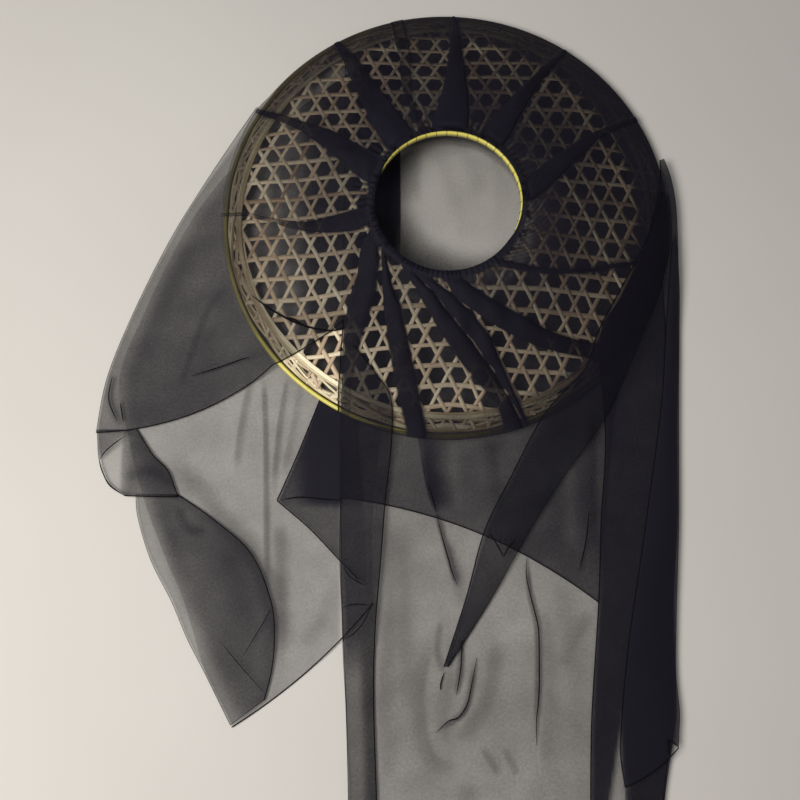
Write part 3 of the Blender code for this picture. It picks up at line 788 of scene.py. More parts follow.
def tube_mesh(name, lines):
    """Round cords along several rows of x, y, z, radius, joined in one mesh."""
    vertices = []
    faces = []
    sides = range(TUBE_SIDES)
    turn = np.linspace(0.0, 2.0 * np.pi, TUBE_SIDES, endpoint=False)
    for line in lines:
        keep = np.ones(len(line), bool)
        keep[1:] = np.linalg.norm(np.diff(line[:, :3], axis=0), axis=1) > 1e-5
        thick = line[keep, 3][:, None, None]
        line = line[keep, :3]
        run = np.gradient(line, axis=0)
        run /= np.linalg.norm(run, axis=1, keepdims=True)
        side = np.cross(run, (0.0, 0.0, 1.0))
        side /= np.maximum(np.linalg.norm(side, axis=1, keepdims=True), 1e-9)
        up = np.cross(side, run)
        ring = line[:, None] + thick * (side[:, None] * np.cos(turn)[:, None]
                                        + up[:, None] * np.sin(turn)[:, None])
        first = len(vertices)
        vertices += ring.reshape(-1, 3).tolist()
        for step in range(len(line) - 1):
            for edge in sides:
                a = first + step * TUBE_SIDES + edge
                b = first + step * TUBE_SIDES + (edge + 1) % TUBE_SIDES
                faces.append((a, b, b + TUBE_SIDES, a + TUBE_SIDES))
        faces.append(tuple(first + edge for edge in reversed(sides)))
        last = first + (len(line) - 1) * TUBE_SIDES
        faces.append(tuple(last + edge for edge in sides))
    mesh = smooth_mesh(name, vertices, faces)
    mesh.update()
    return mesh


class ShapeGraph(Graph):
    """A geometry tree, with inputs of its own that hold the values given."""

    def __init__(self, name, inputs):
        tree = bpy.data.node_groups.new(name, "GeometryNodeTree")
        for label, value in inputs.items():
            kind = "NodeSocketInt" if isinstance(value, int) else "NodeSocketFloat"
            socket = tree.interface.new_socket(label, in_out="INPUT", socket_type=kind)
            socket.default_value = value
        tree.interface.new_socket("Geometry", in_out="OUTPUT", socket_type="NodeSocketGeometry")
        super().__init__(tree)
        self.group = self.node("NodeGroupInput")

    def random(self, low, high, seed):
        return self.node("FunctionNodeRandomValue", {"data_type": "FLOAT"},
                         {2: low, 3: high, "Seed": seed})[1]

    def circle(self, resolution, radius):
        return self.node("GeometryNodeCurvePrimitiveCircle", None,
                         {"Resolution": resolution, "Radius": radius})["Curve"]

    def tube(self, curve, profile, caps=False):
        return self.node("GeometryNodeCurveToMesh", None,
                         {"Curve": curve, "Profile Curve": profile, "Fill Caps": caps})["Mesh"]

    def points(self, count, start, step):
        """Points in a row."""
        return self.node("GeometryNodeMeshLine", None,
                         {"Count": count, "Start Location": start, "Offset": step})["Mesh"]

    def copies(self, points, instance, **how):
        """A copy of instance at each point, under a Rotation or Scale."""
        return self.node("GeometryNodeInstanceOnPoints", None,
                         {"Points": points, "Instance": instance, **how})["Instances"]

    def real(self, geometry):
        return self.node("GeometryNodeRealizeInstances", None, {"Geometry": geometry})[0]

    def turned(self, geometry, **how):
        """The whole geometry under a Rotation or Scale."""
        return self.node("GeometryNodeTransform", None, {"Geometry": geometry, **how})[0]

    def moved(self, geometry, **where):
        """The geometry with its points at a Position or moved by an Offset."""
        return self.node("GeometryNodeSetPosition", None, {"Geometry": geometry, **where})[0]

    def store(self, geometry, name, value, kind="FLOAT", domain="POINT"):
        return self.node("GeometryNodeStoreNamedAttribute", {"data_type": kind, "domain": domain},
                         {"Geometry": geometry, "Name": name, "Value": value})["Geometry"]

    def stored(self, name):
        return self.node("GeometryNodeInputNamedAttribute", {"data_type": "FLOAT"},
                         {"Name": name})[0]

    def place(self):
        """Where each point is: one vector, then its x, y and z."""
        place = self.node("GeometryNodeInputPosition")[0]
        split = self.node("ShaderNodeSeparateXYZ", None, {0: place})
        return place, split["X"], split["Y"], split["Z"]

    def brim_height(self, radius):
        """The same height as from the function brim_height."""
        along = ((radius - WEAVE_INNER) / (RIM_RADIUS - WEAVE_INNER)).clamp(0.0, 1.0)
        cone = (1.0 - along) * (CROWN_EDGE_HEIGHT - RIM_TOP) + RIM_TOP
        return cone + along * (1.0 - along) * (4.0 * BRIM_BULGE)

    def made(self, name, inputs, material):
        """Evaluate the tree once and keep the result as a plain mesh object."""
        holder = bpy.data.objects.new(name, bpy.data.meshes.new(name))
        bpy.context.scene.collection.objects.link(holder)
        modifier = holder.modifiers.new("shape", "NODES")
        modifier.node_group = self.tree
        for item in self.tree.interface.items_tree:
            if item.in_out == "INPUT" and item.name in inputs:
                modifier[item.identifier] = inputs[item.name]
        bpy.context.view_layer.update()
        evaluated = holder.evaluated_get(bpy.context.evaluated_depsgraph_get())
        mesh = bpy.data.meshes.new_from_object(evaluated)
        holder.modifiers.remove(modifier)
        bpy.data.objects.remove(holder, do_unlink=True)
        return add_object(name, mesh, material)

    def finish(self, geometry, material):
        """Close the tree with its material."""
        dressed = self.node("GeometryNodeSetMaterial", None,
                            {"Geometry": geometry, "Material": material})
        self.node("NodeGroupOutput", None, {"Geometry": dressed[0]})
        return self


def weave_graph(material):
    """Strips in three directions over an annulus, each over one family and under the other."""
    graph = ShapeGraph("brim_weave", {
        "Pitch": HEX_PITCH, "Strip Width": STRIP_WIDTH, "Strip Thickness": STRIP_THICKNESS,
        "Inner Radius": WEAVE_INNER, "Outer Radius": WEAVE_OUTER, "Seed": WEAVE_SEED})
    pitch = graph.group["Pitch"]
    reach = graph.group["Outer Radius"]
    row = pitch * ROW_SHARE
    rows = 2 * math.ceil(WEAVE_OUTER / (HEX_PITCH * ROW_SHARE))
    places = graph.points(rows, graph.vector(y=row * (-(rows - 1) / 2.0)), graph.vector(y=row))
    line = graph.node("GeometryNodeCurvePrimitiveLine", None,
                      {"Start": graph.vector(reach * -1.0), "End": graph.vector(reach)})["Curve"]
    line = graph.node("GeometryNodeResampleCurve", None,
                      {"Curve": line, "Count": STRIP_STEPS})["Curve"]
    profile = graph.node("GeometryNodeCurvePrimitiveQuadrilateral", None, {
        "Width": graph.group["Strip Width"], "Height": graph.group["Strip Thickness"]})
    ribbon = graph.tube(line, profile["Curve"], True)
    families = []
    for family in range(3):
        seed = graph.group["Seed"] + family * 10
        size = graph.vector(1.0, graph.random(*STRIP_WIDTH_RANGE, seed), 1.0)
        angle = graph.vector(z=graph.random(-STRIP_TURN, STRIP_TURN, seed + 1))
        strips = graph.copies(places, ribbon, Rotation=angle, Scale=size)
        strips = graph.store(strips, "tint", graph.random(0.0, 1.0, seed + 2), domain="INSTANCE")
        place, x, y, _ = graph.place()
        strips = graph.store(graph.real(strips), "strip_place", place, kind="FLOAT_VECTOR")
        phase = (x / pitch - y / (row * 2.0) + 0.5) * (2.0 * math.pi)
        strips = graph.moved(strips, Offset=graph.vector(z=phase.maths("COSINE") * STRIP_LIFT))
        families.append(graph.turned(strips, Rotation=(0.0, 0.0, family * math.pi / 3.0)))
    joined = graph.node("GeometryNodeJoinGeometry")
    for strips in families:
        graph.tree.links.new(strips.socket, joined.made.inputs[0])
    place, x, y, _ = graph.place()
    side = (x.maths("ABSOLUTE") / WEAVE_SIDE).clamp(0.0, 1.0)
    stretch = y * (side * WEAVE_SIDE_STRETCH + WEAVE_STRETCH)
    wander = graph.noise(place, 14.0, 1.0, "Color")
    drift = graph.node("FunctionNodeSeparateColor", None, {0: wander})
    warped = graph.moved(joined[0], Offset=graph.vector(
        (drift[0] - 0.5) * (2.0 * WEAVE_WANDER), stretch + (drift[1] - 0.5) * (2.0 * WEAVE_WANDER)))
    _, x, y, _ = graph.place()
    radius = (x * x + y * y).maths("SQRT")
    inside = radius.maths("LESS_THAN", graph.group["Inner Radius"])
    outside = radius.maths("GREATER_THAN", reach)
    cut = graph.node("GeometryNodeDeleteGeometry", {"domain": "FACE"},
                     {"Geometry": warped, "Selection": (inside + outside).clamp(0.0, 1.0)})[0]
    height = graph.brim_height(radius) - WEAVE_SINK
    return graph.finish(graph.moved(cut, Offset=graph.vector(z=height)), material)


def splint_graph(material):
    """Long splints bent round the rim, crossing each other at shallow angles."""
    graph = ShapeGraph("rim_splints", {
        "Count": SPLINTS, "Middle Radius": BAND_MIDDLE, "Swing": BAND_SWING,
        "Waves": SPLINT_WAVES, "Width": SPLINT_WIDTH, "Thickness": SPLINT_THICKNESS,
        "Level": 0.0, "Direction": 1.0, "Seed": 1})
    group = graph.group
    profile = graph.turned(graph.circle(8, 0.5),
                           Scale=graph.vector(group["Width"], group["Thickness"], 1.0))
    ribbon = graph.tube(graph.circle(SPLINT_POINTS, group["Middle Radius"]), profile)
    rings = graph.copies(graph.points(group["Count"], (0.0, 0.0, 0.0), (0.0, 0.0, 0.0)), ribbon)
    for name, value in (("tint", graph.random(0.0, 1.0, group["Seed"])),
                        ("shift", graph.random(0.0, 2.0 * math.pi, group["Seed"] + 5)),
                        ("number", graph.node("GeometryNodeInputIndex")[0])):
        rings = graph.store(rings, name, value, domain="INSTANCE")
    _, x, y, z = graph.place()
    angle = y.maths("ARCTAN2", x)
    radius = (x * x + y * y).maths("SQRT")
    rings = graph.store(graph.real(rings), "strip_place",
                        graph.vector(angle * RIM_RADIUS, radius, z), kind="FLOAT_VECTOR")
    turn = angle * group["Waves"] * group["Direction"] + graph.stored("shift")
    bent = radius + turn.maths("SINE") * group["Swing"]
    height = (graph.brim_height(bent) + z + group["Level"]
              + turn.maths("COSINE") * SPLINT_WEAVE + graph.stored("number") * SPLINT_STEP)
    place = graph.vector(angle.maths("COSINE") * bent, angle.maths("SINE") * bent, height)
    return graph.finish(graph.moved(rings, Position=place), material)


def stitch_graph(material):
    """Thread loops that sew the gathered edge to the crown hoop."""
    graph = ShapeGraph("crown_stitches", {
        "Count": STITCHES, "Hoop Radius": 0.5 * (CROWN_HOOP_INNER + CROWN_HOOP_OUTER),
        "Hoop Height": 0.5 * (CROWN_HOOP_BOTTOM + CROWN_HOOP_TOP),
        "Thread Radius": THREAD_RADIUS, "Seed": STITCH_SEED})
    group = graph.group
    hoop = graph.circle(group["Count"], group["Hoop Radius"])
    points = graph.node("GeometryNodeCurveToPoints", {"mode": "EVALUATED"}, {"Curve": hoop})
    size = (0.5 * (CROWN_HOOP_OUTER - CROWN_HOOP_INNER) + STITCH_ROOM[0],
            0.5 * (CROWN_HOOP_TOP - CROWN_HOOP_BOTTOM) + STITCH_ROOM[1], 1.0)
    loop = graph.turned(graph.circle(STITCH_SIDES, 1.0), Scale=size)
    loop = graph.turned(loop, Rotation=(math.pi / 2.0, 0.0, 0.0))
    thread = graph.tube(loop, graph.circle(THREAD_SIDES, group["Thread Radius"]))
    _, x, y, _ = graph.place()
    turn = y.maths("ARCTAN2", x) + graph.random(*STITCH_LEAN, group["Seed"])
    loops = graph.real(graph.copies(points["Points"], thread, Rotation=graph.vector(z=turn)))
    loops = graph.moved(loops, Offset=graph.vector(z=group["Hoop Height"]))
    return graph.finish(loops, material)


def make_hoop(name, inner, outer, bottom, top, material, bright=None):
    """A split hoop: flat inside, with the cane's round skin outside. bright is where its skin is
    bright yellow, as four angles in degrees; without it the whole hoop is."""
    turn = np.linspace(0.0, 2.0 * np.pi, HOOP_STEPS, endpoint=False)
    shine = np.ones_like(turn)
    if bright:
        bearing = np.degrees(turn)
        shine = ramp(bearing, *bright[:2]) * (1.0 - ramp(bearing, *bright[2:]))
    bow = np.linspace(-0.5 * np.pi, 0.5 * np.pi, 9)
    skin = inner + (outer - inner) * (HOOP_FLAT + (1.0 - HOOP_FLAT) * np.cos(bow))
    radius = np.concatenate([[inner], skin, [inner, inner]])[:, None]
    height = np.concatenate([[bottom + HOOP_BEVEL],
                             0.5 * (bottom + top) + 0.5 * (top - bottom) * np.sin(bow),
                             [top - HOOP_BEVEL, bottom + HOOP_BEVEL]])
    wobble = 1.0 + waves(HOOP_WAVES, turn, 0.0)
    z = np.repeat(height[:, None], HOOP_STEPS, axis=1)
    mesh = grid_mesh(name, radius * wobble * np.cos(turn), radius * wobble * np.sin(turn), z,
                     closed=True)
    place = mesh.attributes.new("strip_place", "FLOAT_VECTOR", "POINT")
    runs = np.stack([np.broadcast_to(turn * outer, z.shape), z + radius, z], -1)
    place.data.foreach_set("vector", runs.ravel())
    tint = mesh.attributes.new("tint", "FLOAT", "POINT")
    own_tint = HOOP_TINT + (HOOP_BRIGHT_TINT - HOOP_TINT) * shine
    tint.data.foreach_set("value", np.broadcast_to(own_tint, z.shape).ravel())
    close_seams(mesh)
    return add_object(name, mesh, material)


def close_seams(mesh):
    """Merge doubled points and turn the faces outwards."""
    work = bmesh.new()
    work.from_mesh(mesh)
    bmesh.ops.remove_doubles(work, verts=work.verts, dist=1e-6)
    bmesh.ops.recalc_face_normals(work, faces=work.faces)
    work.to_mesh(mesh)
    work.free()


def single_part(start, end, share):
    """Columns of the cover that lie singly between start and end: angle, lift, extra cloth."""
    angle = start[:, None] + (end - start)[:, None] * share
    return angle, np.zeros_like(angle), np.zeros_like(angle)


def cover_grids():
    """The cover's grids: a row for each radius, columns that run round and double back at pleats."""
    radii = np.concatenate([COVER_TOP_RADII, COVER_BRIM_RADII, COVER_EDGE_RADII])
    edge = np.interp(radii, NOTCH_RADII, COVER_START_DEG)
    end = np.interp(radii, NOTCH_RADII, COVER_END_DEG)
    pieces = [single_part(edge, edge, np.zeros(1))]
    for pleat in PLEATS:
        left = np.interp(radii, PLEAT_RADII, pleat.left)
        right = np.interp(radii, PLEAT_RADII, pleat.right)
        pieces.append(single_part(edge, left, np.arange(1, COVER_STEPS) / COVER_STEPS))
        span = (right - left)[:, None]
        puff = pleat.puff * MM * np.minimum(1.0, span / PLEAT_FULL_DEG)
        dense = pleat.crown + (pleat.rim - pleat.crown) * ramp(radii, *PLEAT_FADE)
        for number in range(3):
            level = number * PLEAT_LAYER
            place = (1.0 - PLEAT_STEPS if number == 1 else PLEAT_STEPS)[None, :]
            if number == 2:
                rise = level + puff * np.sin(np.pi * place) ** 0.7 - level * smooth(place * 8 - 7)
            else:
                rise = level + puff * np.sin(np.pi * place) ** 0.7 * PLEAT_UNDER
            border = (np.exp(-(place / PLEAT_BORDER) ** 2)
                      + np.exp(-((1.0 - place) / PLEAT_BORDER) ** 2))
            cloth = dense[:, None] - 1.0 + PLEAT_EDGE_DENSITY * border
            pieces.append((left[:, None] + span * place, rise, cloth))
        edge = right
    pieces.append(single_part(edge, end, np.arange(1, COVER_END_STEPS + 1) / COVER_END_STEPS))
    return (radii, *(np.concatenate(grids, axis=1) for grids in zip(*pieces)))


def make_cover(cloth, hem_cloth):
    """Veil over the brim, gathered over the crown hoop and folded in flat pleats to the rim."""
    radii, angle, lift, folded = cover_grids()
    turn = np.radians(angle)
    radius = np.repeat(radii[:, None], angle.shape[1], axis=1)
    lip = ramp(angle, *LIP_START_DEG) * (1.0 - ramp(angle, *LIP_END_DEG))
    past = np.clip((radius - RIM_RADIUS) / (COVER_OUTER - RIM_RADIUS), 0.0, 1.0)
    bearing = np.mod(angle, 360.0)

    def by_direction(degrees, values):
        return np.interp(bearing, degrees, values, period=360.0)

    tuck = by_direction(TUCK_DEG, TUCK)
    bare = BARE_HOOP + BARE_HOOP_SWING * np.cos(np.radians(bearing - BARE_HOOP_DEG))
    spared = (1.0 - tuck) * bare * (1.0 - ramp(radius, *BARE_FADE))
    bound = radius - lip * past * LIP_IN - tuck * np.interp(radius, TUCK_RADII, TUCK_IN) + spared
    x = bound * np.cos(turn)
    y = bound * np.sin(turn)
    near = 1.0 - ramp(radius, *GATHER_FADE)
    ripple = gathers(turn, *COVER_DRIFT)
    lifted = COVER_SWELL + waves(COVER_WAVES, turn, radius)
    lifted = lifted * ramp(radius, *WAVE_RISE) * (1.0 - ramp(radius, *WAVE_FADE))
    flat = rest_height(x, y) + lift * ramp(radius, *PLEAT_RISE) + lifted
    hooded = CROWN_HOOP_TOP + HOOD_LIFT - HOOD_TUCK * tuck * (1.0 - ramp(radius, *TUCK_FADE))
    z = flat + (hooded - flat) * (1.0 - ramp(radius, *HOOD_FADE))
    z = z + GATHER_HEIGHT * (1.0 + ripple) * near
    z = z - lip * past ** 1.5 * LIP_DOWN - tuck * np.interp(radius, TUCK_RADII, TUCK_DOWN)
    crowd = (CROWD_RADIUS / np.maximum(radius, CROWD_LEAST_RADIUS)) ** CROWD_POWER
    density = by_direction(GATHER_DEG, GATHER_AMOUNT) * crowd * (1.0 + folded)
    density = density * (1.0 + GATHER_SHADE * ripple * near) * (1.0 + LIP_SHADE * lip * past)
    at_rim = by_direction(RIM_DEG, RIM_AMOUNT) * (1.0 + folded)
    rim_start = by_direction(RIM_DEG, RIM_START)
    density = density + (at_rim - density) * ramp(radius, rim_start, rim_start + RIM_SHADE_WIDTH)
    over_hoop = 1.0 - ramp(radius, *HOOD_SHADE_FADE)
    density = density + (by_direction(HOOD_DEG, HOOD_AMOUNT) - density) * over_hoop
    mesh = grid_mesh("veil_brim_cover", x, y, z, gather=density)
    sheet = add_object("veil_cover_cloth", mesh, cloth)
    open_part = radii >= NOTCH_POINT
    lines = [cord(x[open_part, side], y[open_part, side], z[open_part, side] + LINE_LIFT, HEM_RADIUS)
             for side in (0, -1)]
    lines += [line_on((x, y, z), points, LINE_RADIUS["veil_brim_cover"])
              for points in LINES["veil_brim_cover"]]
    hem = add_object("veil_cover_hem", tube_mesh("veil_cover_hem", lines), hem_cloth)
    return sheet, hem


# How high a layer lies over what it rests on, in layers of cloth, from its plan place and its share
# of the way from the hat to its hem
LEVELS = {
    "veil_back_panel": lambda x, y, along: 0.0,
    "veil_left_panel": lambda x, y, along: ramp(x, -0.128, -0.106),
    "veil_left_wing": lambda x, y, along: off_hat(x, y),
    "veil_wing_curl": lambda x, y, along: 0.5 + 0.9 * ramp(along, 0.15, 0.5),
    "veil_left_flap": lambda x, y, along: 0.4 + 0.6 * ramp(along, 0.03, 0.12),
    "veil_corner_fold": lambda x, y, along: 2.0,
    "veil_side_strip": lambda x, y, along: 1.0 + off_hat(x, y) * 2.0 * (1 - ramp(-y, 0.385, 0.42)),
    "veil_front_panel": lambda x, y, along: off_hat(x, y),
    "veil_spike_fold": lambda x, y, along: 3.0 + off_hat(x, y) - 2.6 * ramp(along, 0.66, 0.95),
    "veil_right_inner_fall": lambda x, y, along: 1.6 + off_hat(x, y) * 0.7,
    "veil_right_outer_fall": lambda x, y, along: 3.0 + off_hat(x, y) * 0.6,
}
# A layer is lifted by the creases of its level and of those below it. Other layers are at level 2.
CREASE_LEVELS = {"veil_back_panel": 0, "veil_left_panel": 0, "veil_front_panel": 1,
                 "veil_left_wing": 1.5, "veil_left_flap": 1.6, "veil_wing_curl": 1.7}
# Layers that pass under the hat, so that they rest on the floor there too
UNDER_HAT = {"veil_back_panel", "veil_left_panel", "veil_corner_fold"}


def layer_grid(name, columns, rows):
    """Grids of one layer of cloth as it lies."""
    across = np.linspace(0.0, 1.0, columns + 1)
    along = np.linspace(0.0, 1.0, rows + 1)
    x, y = layer_plan(SECTIONS[name], across, along)
    u, v = np.meshgrid(across, along)
    level = LEVELS[name](x, y, v)
    base = 0.0 if name in UNDER_HAT else rest_height(x, y)
    outside = off_hat(x, y)
    z = SHEET_BASE + base + LAYER * level
    rise, extra = crease_shape(x, y, CREASE_LEVELS.get(name, 2))
    z = z + outside * (np.maximum(rise, 0.0) + swell(x, y))
    return x, y, z, u, v, extra


def cord(x, y, z, radius):
    """Rows of x, y, z, radius for a cord along points."""
    return np.column_stack([x, y, z, np.broadcast_to(radius, x.shape)])


SIDES = {"left": np.s_[:, 0], "right": np.s_[:, -1], "hem": np.s_[-1, :]}


def side_cords(grids, sides, radius):
    """Cords along the named sides of grids of x, y and z."""
    return [cord(*(grid[SIDES[side]] for grid in grids), radius) for side in sides]


# Grid size of each layer, how far it stands up in the middle, its hems, its folded edges, whether
# it is doubled, the size that it was cut to, and how it is held
Layer = namedtuple("Layer", "columns rows arch hems folds doubled flat held")
LAYERS = {
    "veil_back_panel": Layer(270, 290, 0.0, ("hem", "right"), ("left",), False,
                             (0.31, 0.82), "laid"),
    "veil_left_panel": Layer(220, 200, 0.0, ("hem",), (), False,
                             (0.26, 0.62), "laid"),
    "veil_left_wing": Layer(90, 140, 0.0, ("hem",), ("left",), False, (0.10, 0.28), "draped"),
    "veil_wing_curl": Layer(30, 30, 6.0, ("hem", "right"), ("left",), False,
                            (0.07, 0.07), "folded"),
    "veil_left_flap": Layer(50, 90, 2.5, ("right",), ("left", "hem"), False,
                            (0.09, 0.22), "folded"),
    "veil_corner_fold": Layer(40, 60, 0.0, ("left",), (), False, (0.06, 0.16), "folded"),
    "veil_side_strip": Layer(24, 200, 1.2, ("right",), ("left",), True, (0.06, 0.48), "folded"),
    "veil_front_panel": Layer(240, 100, 0.0, ("hem",), (), False, (0.25, 0.14), "draped"),
    "veil_spike_fold": Layer(24, 180, 2.6, ("left",), ("right",), True, (0.055, 0.52), "folded"),
    "veil_right_inner_fall": Layer(40, 220, 2.0, ("left",), ("right",), True,
                                   (0.14, 0.66), "folded"),
    "veil_right_outer_fall": Layer(30, 180, 1.5, ("left", "hem"), ("right",), False,
                                   (0.036, 0.50), "folded"),
}
# How many times the cloth is laid together in a layer, from its plan place and its distance from
# the layer's left and right edges, all in metres, with painted light and shade under the hat and
# in the crown hole
DENSITIES_AND_PAINTED_SHADE = {
    "veil_back_panel": lambda x, y, left, right:
        # Painted light and shade in the crown hole: thinner cloth in its lit middle, a crescent of
        # painted shadow round its west and south, and painted shade in its north-west
        1.12 - ramp(0.085 - np.hypot(x, y), 0.0, 0.005) * (
            0.50 - 1.6 * ramp(np.hypot(x - 0.028, y - 0.030), 0.056, 0.096)
            - 0.45 * ramp(-x, 0.020, 0.030) * ramp(y, 0.012, 0.040))
        - 1.12 * ramp(0.022 - left, 0.0, 0.022) * ramp(y, -0.200, -0.185)
        # Painted shade under the hat: the panel is denser between the crown hole and the rim
        + 1.3 * ramp(np.hypot(x, y), 0.085, 0.092) * ramp(0.206 - np.hypot(x, y), 0.0, 0.020)
        * ramp(left, 0.006, 0.030),
    "veil_left_panel": lambda x, y, left, right:
        0.45 + 0.50 * ramp(left, 0.0, 0.016) - 0.6 * ramp(x, -0.104, -0.098) * ramp(-y, 0.2, 0.21)
        # Painted shade under the hat: much denser under the west of the crown hole and the brim beside
        # it
        + 4.0 * ramp(x, -0.10, -0.08) * ramp(y, -0.12, -0.06)
        * (1.0 - 0.95 * ramp(x, -0.056, -0.0455) * ramp(0.020 - y, 0.0, 0.050))
        # Painted shade under the brim further west
        + 1.6 * ramp(x, -0.150, -0.125) * ramp(-x, 0.080, 0.100)
        * ramp(0.205 - np.hypot(x, y), 0.0, 0.025),
    "veil_left_wing": lambda x, y, left, right:
        1.42 + 0.40 * ramp(left, 0.008, 0.030)
        + 0.22 * ramp(-y, 0.10, 0.15) * (1.0 - 1.6 * ramp(x, -0.235, -0.210)),
    "veil_wing_curl": lambda x, y, left, right:
        0.60 + 1.45 * ramp(x, -0.3085, -0.3055)
        + 1.0 * ramp(y + 0.240 - 0.96 * (x + 0.329), 0.0, 0.003) * ramp(-x, 0.300, 0.309),
    "veil_left_flap": lambda x, y, left, right:
        1.02 + 0.65 * ramp(left, 0.004, 0.026) + 0.30 * ramp(right, 0.016, 0.004),
    "veil_corner_fold": lambda x, y, left, right:
        (1.75 + ramp(y, -0.288, -0.272) * (0.6 + 5.2 * ramp(x, -0.150, -0.118)))
        * (1.0 - 0.85 * ramp(x, -0.104, -0.098)),
    "veil_side_strip": lambda x, y, left, right:
        1.00 + 0.10 * ramp(-y, 0.290, 0.310)
        - ramp(-y, 0.395, 0.445) * (0.70 - 0.66 * ramp(left, 0.010, 0.020)),
    "veil_front_panel": lambda x, y, left, right: 1.57 + 0.50 * ramp(x, 0.00, 0.12),
    "veil_spike_fold": lambda x, y, left, right: 1.00 + 0.40 * ramp(-y, 0.30, 0.40),
    "veil_right_inner_fall": lambda x, y, left, right: 2.0 * (1.0 - fall_gap(x, y)),
    "veil_right_outer_fall": lambda x, y, left, right: 3.4 - 2.9 * corner_share(x, y),
}


def corner_share(x, y):
    """1 in the small single corner of the outer fall."""
    top = ramp(CORNER_TOP - CORNER_LEAN * (x - CORNER_LEFT) - y, 0.0, CORNER_EDGE)
    return ramp(x, CORNER_LEFT, CORNER_LEFT + CORNER_EDGE) * top


def fall_gap(x, y):
    """1 in the slit between the inner fall's turned edge and the outer fall's hem."""
    slit_left = FALL_SLIT_X + (y - FALL_SLIT_TOP) * FALL_SLIT_LEAN
    slit_right = FALL_SLIT_X + 0.5 * FALL_SLIT_EDGE
    inside = ramp(x, slit_left, slit_left + FALL_SLIT_EDGE) * ramp(slit_right - x, 0.0, FALL_SLIT_EDGE)
    return inside * ramp(FALL_SLIT_TOP - y, 0.0, FALL_SLIT_END)


def line_on(grid, points, thickest):
    """A smooth line along points in millimetres, laid on grids of cloth."""
    x, y, z = (values.ravel() for values in grid)
    line = spline(points, np.linspace(0.0, 1.0, LINE_STEPS * (len(points) - 1) + 1)) * MM
    nearest = [np.argmin((x - place[0]) ** 2 + (y - place[1]) ** 2) for place in line]
    height = z[nearest]
    height[1:-1] = (height[:-2] + height[1:-1] + height[2:]) / 3.0
    share = np.linspace(0.0, 1.0, len(line))
    radius = thickest * (0.2 + 0.8 * np.minimum(1.0, 5.0 * share * (1.0 - share)))
    return cord(*line.T, height + LINE_LIFT, radius)


def make_layer(name, cloth, hem_cloth, line_cloth):
    """One layer of the veil with its rolled hems and its folded edges."""
    layer = LAYERS[name]
    x, y, z, across, along, extra = layer_grid(name, layer.columns, layer.rows)
    z = z + layer.arch * MM * np.sin(np.pi * across) ** 0.8 * np.minimum(1.0, 6.0 * along)
    lines = side_cords((x, y, z), layer.hems, HEM_RADIUS)
    thickest = LINE_RADIUS.get(name, CREASE_LINE_RADIUS)
    lines += [line_on((x, y, z), points, thickest) for points in LINES.get(name, ())]
    creased = side_cords((x, y, z), layer.folds, FOLD_LINE_RADIUS)
    width = np.hypot(x[:, -1:] - x[:, :1], y[:, -1:] - y[:, :1])
    # Cloth density, with painted light and shade under the hat, in the crown hole and along the
    # creases
    cloth_and_shade_there = DENSITIES_AND_PAINTED_SHADE[name](x, y, across * width, (1.0 - across) * width)
    density = (cloth_and_shade_there + extra) * steepness(x, y, z)
    if layer.doubled:
        density = np.concatenate([density, np.flip(density, axis=1)], axis=1)
        gap = DOUBLE_GAP * np.sin(np.pi * across)
        back = [np.flip(grid, axis=1) for grid in (x, y, z - gap - DOUBLE_BOTTOM)]
        x, y, z = (np.concatenate(pair, axis=1) for pair in zip((x, y, z + DOUBLE_TOP), back))
    mesh = grid_mesh(name, x, y, z, gather=density)
    sheet = add_object(name + "_cloth", mesh, cloth)
    hems = []
    if lines:
        hems.append(add_object(name + "_hem", tube_mesh(name + "_hem", lines), hem_cloth))
    if creased:
        fold = tube_mesh(name + "_fold", creased)
        hems.append(add_object(name + "_fold_edge", fold, line_cloth))
    for item in (sheet, *hems):
        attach(item, BODY)
    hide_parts(name)


def make_hat(strip, splint, skin, thread):
    """Weave, splints, hoops and stitches."""
    weave = weave_graph(strip).made("brim_weave_strips", {}, strip)
    upper = splint_graph(splint).made("rim_splints_upper", UPPER_SPLINTS, splint)
    lower = splint_graph(splint).made("rim_splints_lower", LOWER_SPLINTS, splint)
    binding = splint_graph(splint).made("rim_binding_strips", BINDINGS, splint)
    rim = make_hoop("rim_hoop", RIM_RADIUS - HOOP_WIDTH, RIM_RADIUS, HOOP_BOTTOM, RIM_TOP, skin,
                    HOOP_BRIGHT_DEG)
    crown = make_hoop("crown_hoop_ring", CROWN_HOOP_INNER, CROWN_HOOP_OUTER,
                      CROWN_HOOP_BOTTOM, CROWN_HOOP_TOP, skin)
    stitches = stitch_graph(thread).made("crown_stitches", {}, thread)
    for item, node, finish in ((weave, "brim_weave", "bamboo_strip"),
                               (upper, "rim_splint_band", "bamboo_splint"),
                               (lower, None, "bamboo_splint"),
                               (binding, None, "bamboo_splint"),
                               (rim, "rim_outer_hoop", "bamboo_hoop"),
                               (crown, "crown_hoop", "bamboo_hoop"),
                               (stitches, None, "veil_organza")):
        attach(item, BODY)
        if node:
            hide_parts(node)


def make_heading(cloth):
    """Small gathered ruffle that stands on the cover round the crown hoop."""
    turn = np.linspace(0.0, 2.0 * np.pi, HEADING_STEPS, endpoint=False)
    rise = np.linspace(0.0, 1.0, 8)[:, None]
    gather = 0.5 + 0.5 * gathers(turn, *HEADING_DRIFT)
    radius = HEADING_INNER + HEADING_FLARE * rise * (0.3 + gather)
    z = HEADING_BOTTOM + HEADING_HEIGHT * rise + HEADING_WAVE * gather * rise
    mesh = grid_mesh("veil_heading", radius * np.cos(turn), radius * np.sin(turn), z, closed=True)
    ruffle = add_object("veil_heading_ruffle", mesh, cloth)
    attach(ruffle, BODY)
    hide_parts("veil_heading")


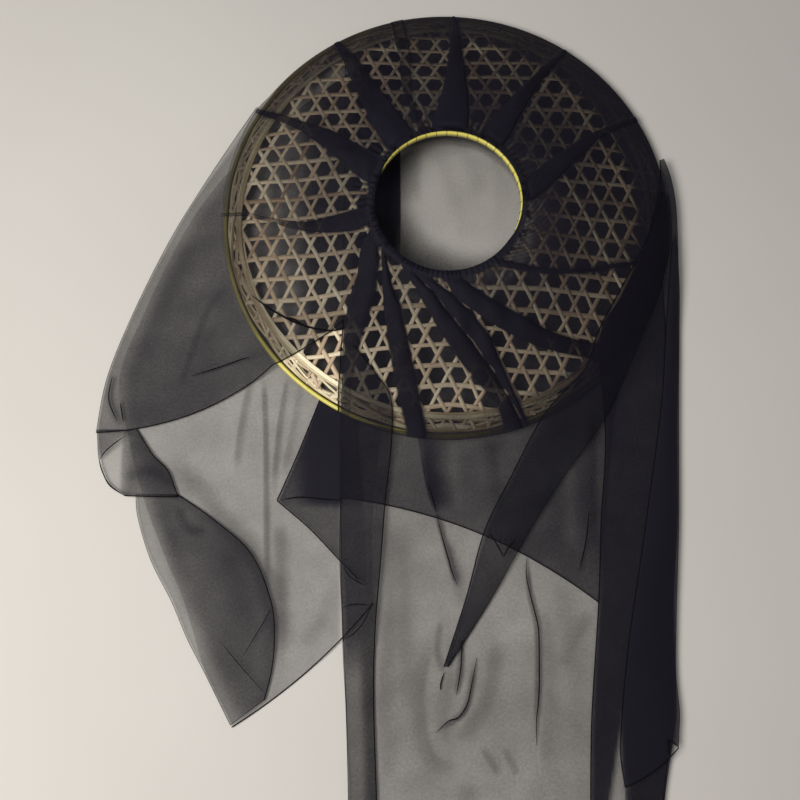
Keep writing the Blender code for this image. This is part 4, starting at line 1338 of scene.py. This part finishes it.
def make_camera():
    data = bpy.data.cameras.new("camera")
    data.lens = LENS_MM
    data.sensor_width = SENSOR_MM
    camera = bpy.data.objects.new("camera", data)
    camera.location = CAMERA_PLACE
    camera.rotation_euler = (math.radians(CAMERA_TILT_DEG), 0.0, 0.0)
    bpy.context.scene.collection.objects.link(camera)
    bpy.context.scene.camera = camera


def make_light(lamp):
    data = bpy.data.lights.new(lamp.name, "AREA")
    data.shape = "DISK"
    data.size = lamp.size
    data.energy = lamp.power
    data.color = lamp.colour
    light = bpy.data.objects.new(lamp.name, data)
    light.location = lamp.place
    aim = Vector(lamp.target) - Vector(lamp.place)
    light.rotation_euler = aim.to_track_quat("-Z", "Y").to_euler()
    bpy.context.scene.collection.objects.link(light)


def make_stage():
    """Floor, soft lights and world."""
    mesh = bpy.data.meshes.new("floor")
    half = FLOOR_SIZE / 2.0
    mesh.from_pydata([(-half, -half, 0.0), (half, -half, 0.0), (half, half, 0.0),
                      (-half, half, 0.0)], [], [(0, 1, 2, 3)])
    floor = add_object("floor", mesh, floor_material())
    for lamp in LAMPS:
        make_light(lamp)
    world = bpy.data.worlds.new("studio")
    world.use_nodes = True
    sky = world.node_tree.nodes["Background"].inputs
    sky["Color"].default_value = WORLD_COLOUR
    sky["Strength"].default_value = WORLD_STRENGTH
    scene = bpy.context.scene
    scene.world = world
    scene.view_settings.view_transform = "Standard"
    scene.cycles.transparent_max_bounces = SHEER_LAYERS


def main():
    clear_start()
    make_camera()
    make_stage()
    strip = bamboo_material("bamboo_strip", STRIP_COLOURS, roughness=0.42, coat=0.05)
    splint = bamboo_material("bamboo_splint", SPLINT_COLOURS, roughness=0.38, coat=0.10)
    skin = bamboo_material("bamboo_hoop_skin", SKIN_COLOURS, roughness=0.30, coat=0.30)
    cloth = organza_material("black_organza", CLOTH_COVER)
    hem_cloth = thread_material("rolled_hem", HEM_COLOUR, alpha=0.90)
    line_cloth = thread_material("folded_edge", FOLD_COLOUR, alpha=0.60)
    thread = thread_material("sewing_thread", THREAD_COLOUR, alpha=1.0)
    make_hat(strip, splint, skin, thread)
    make_heading(cloth)
    cover, cover_hem = make_cover(cloth, hem_cloth)
    for item in (cover, cover_hem):
        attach(item, BODY)
    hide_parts("veil_brim_cover")
    for name in LAYERS:
        make_layer(name, cloth, hem_cloth, line_cloth)


main()
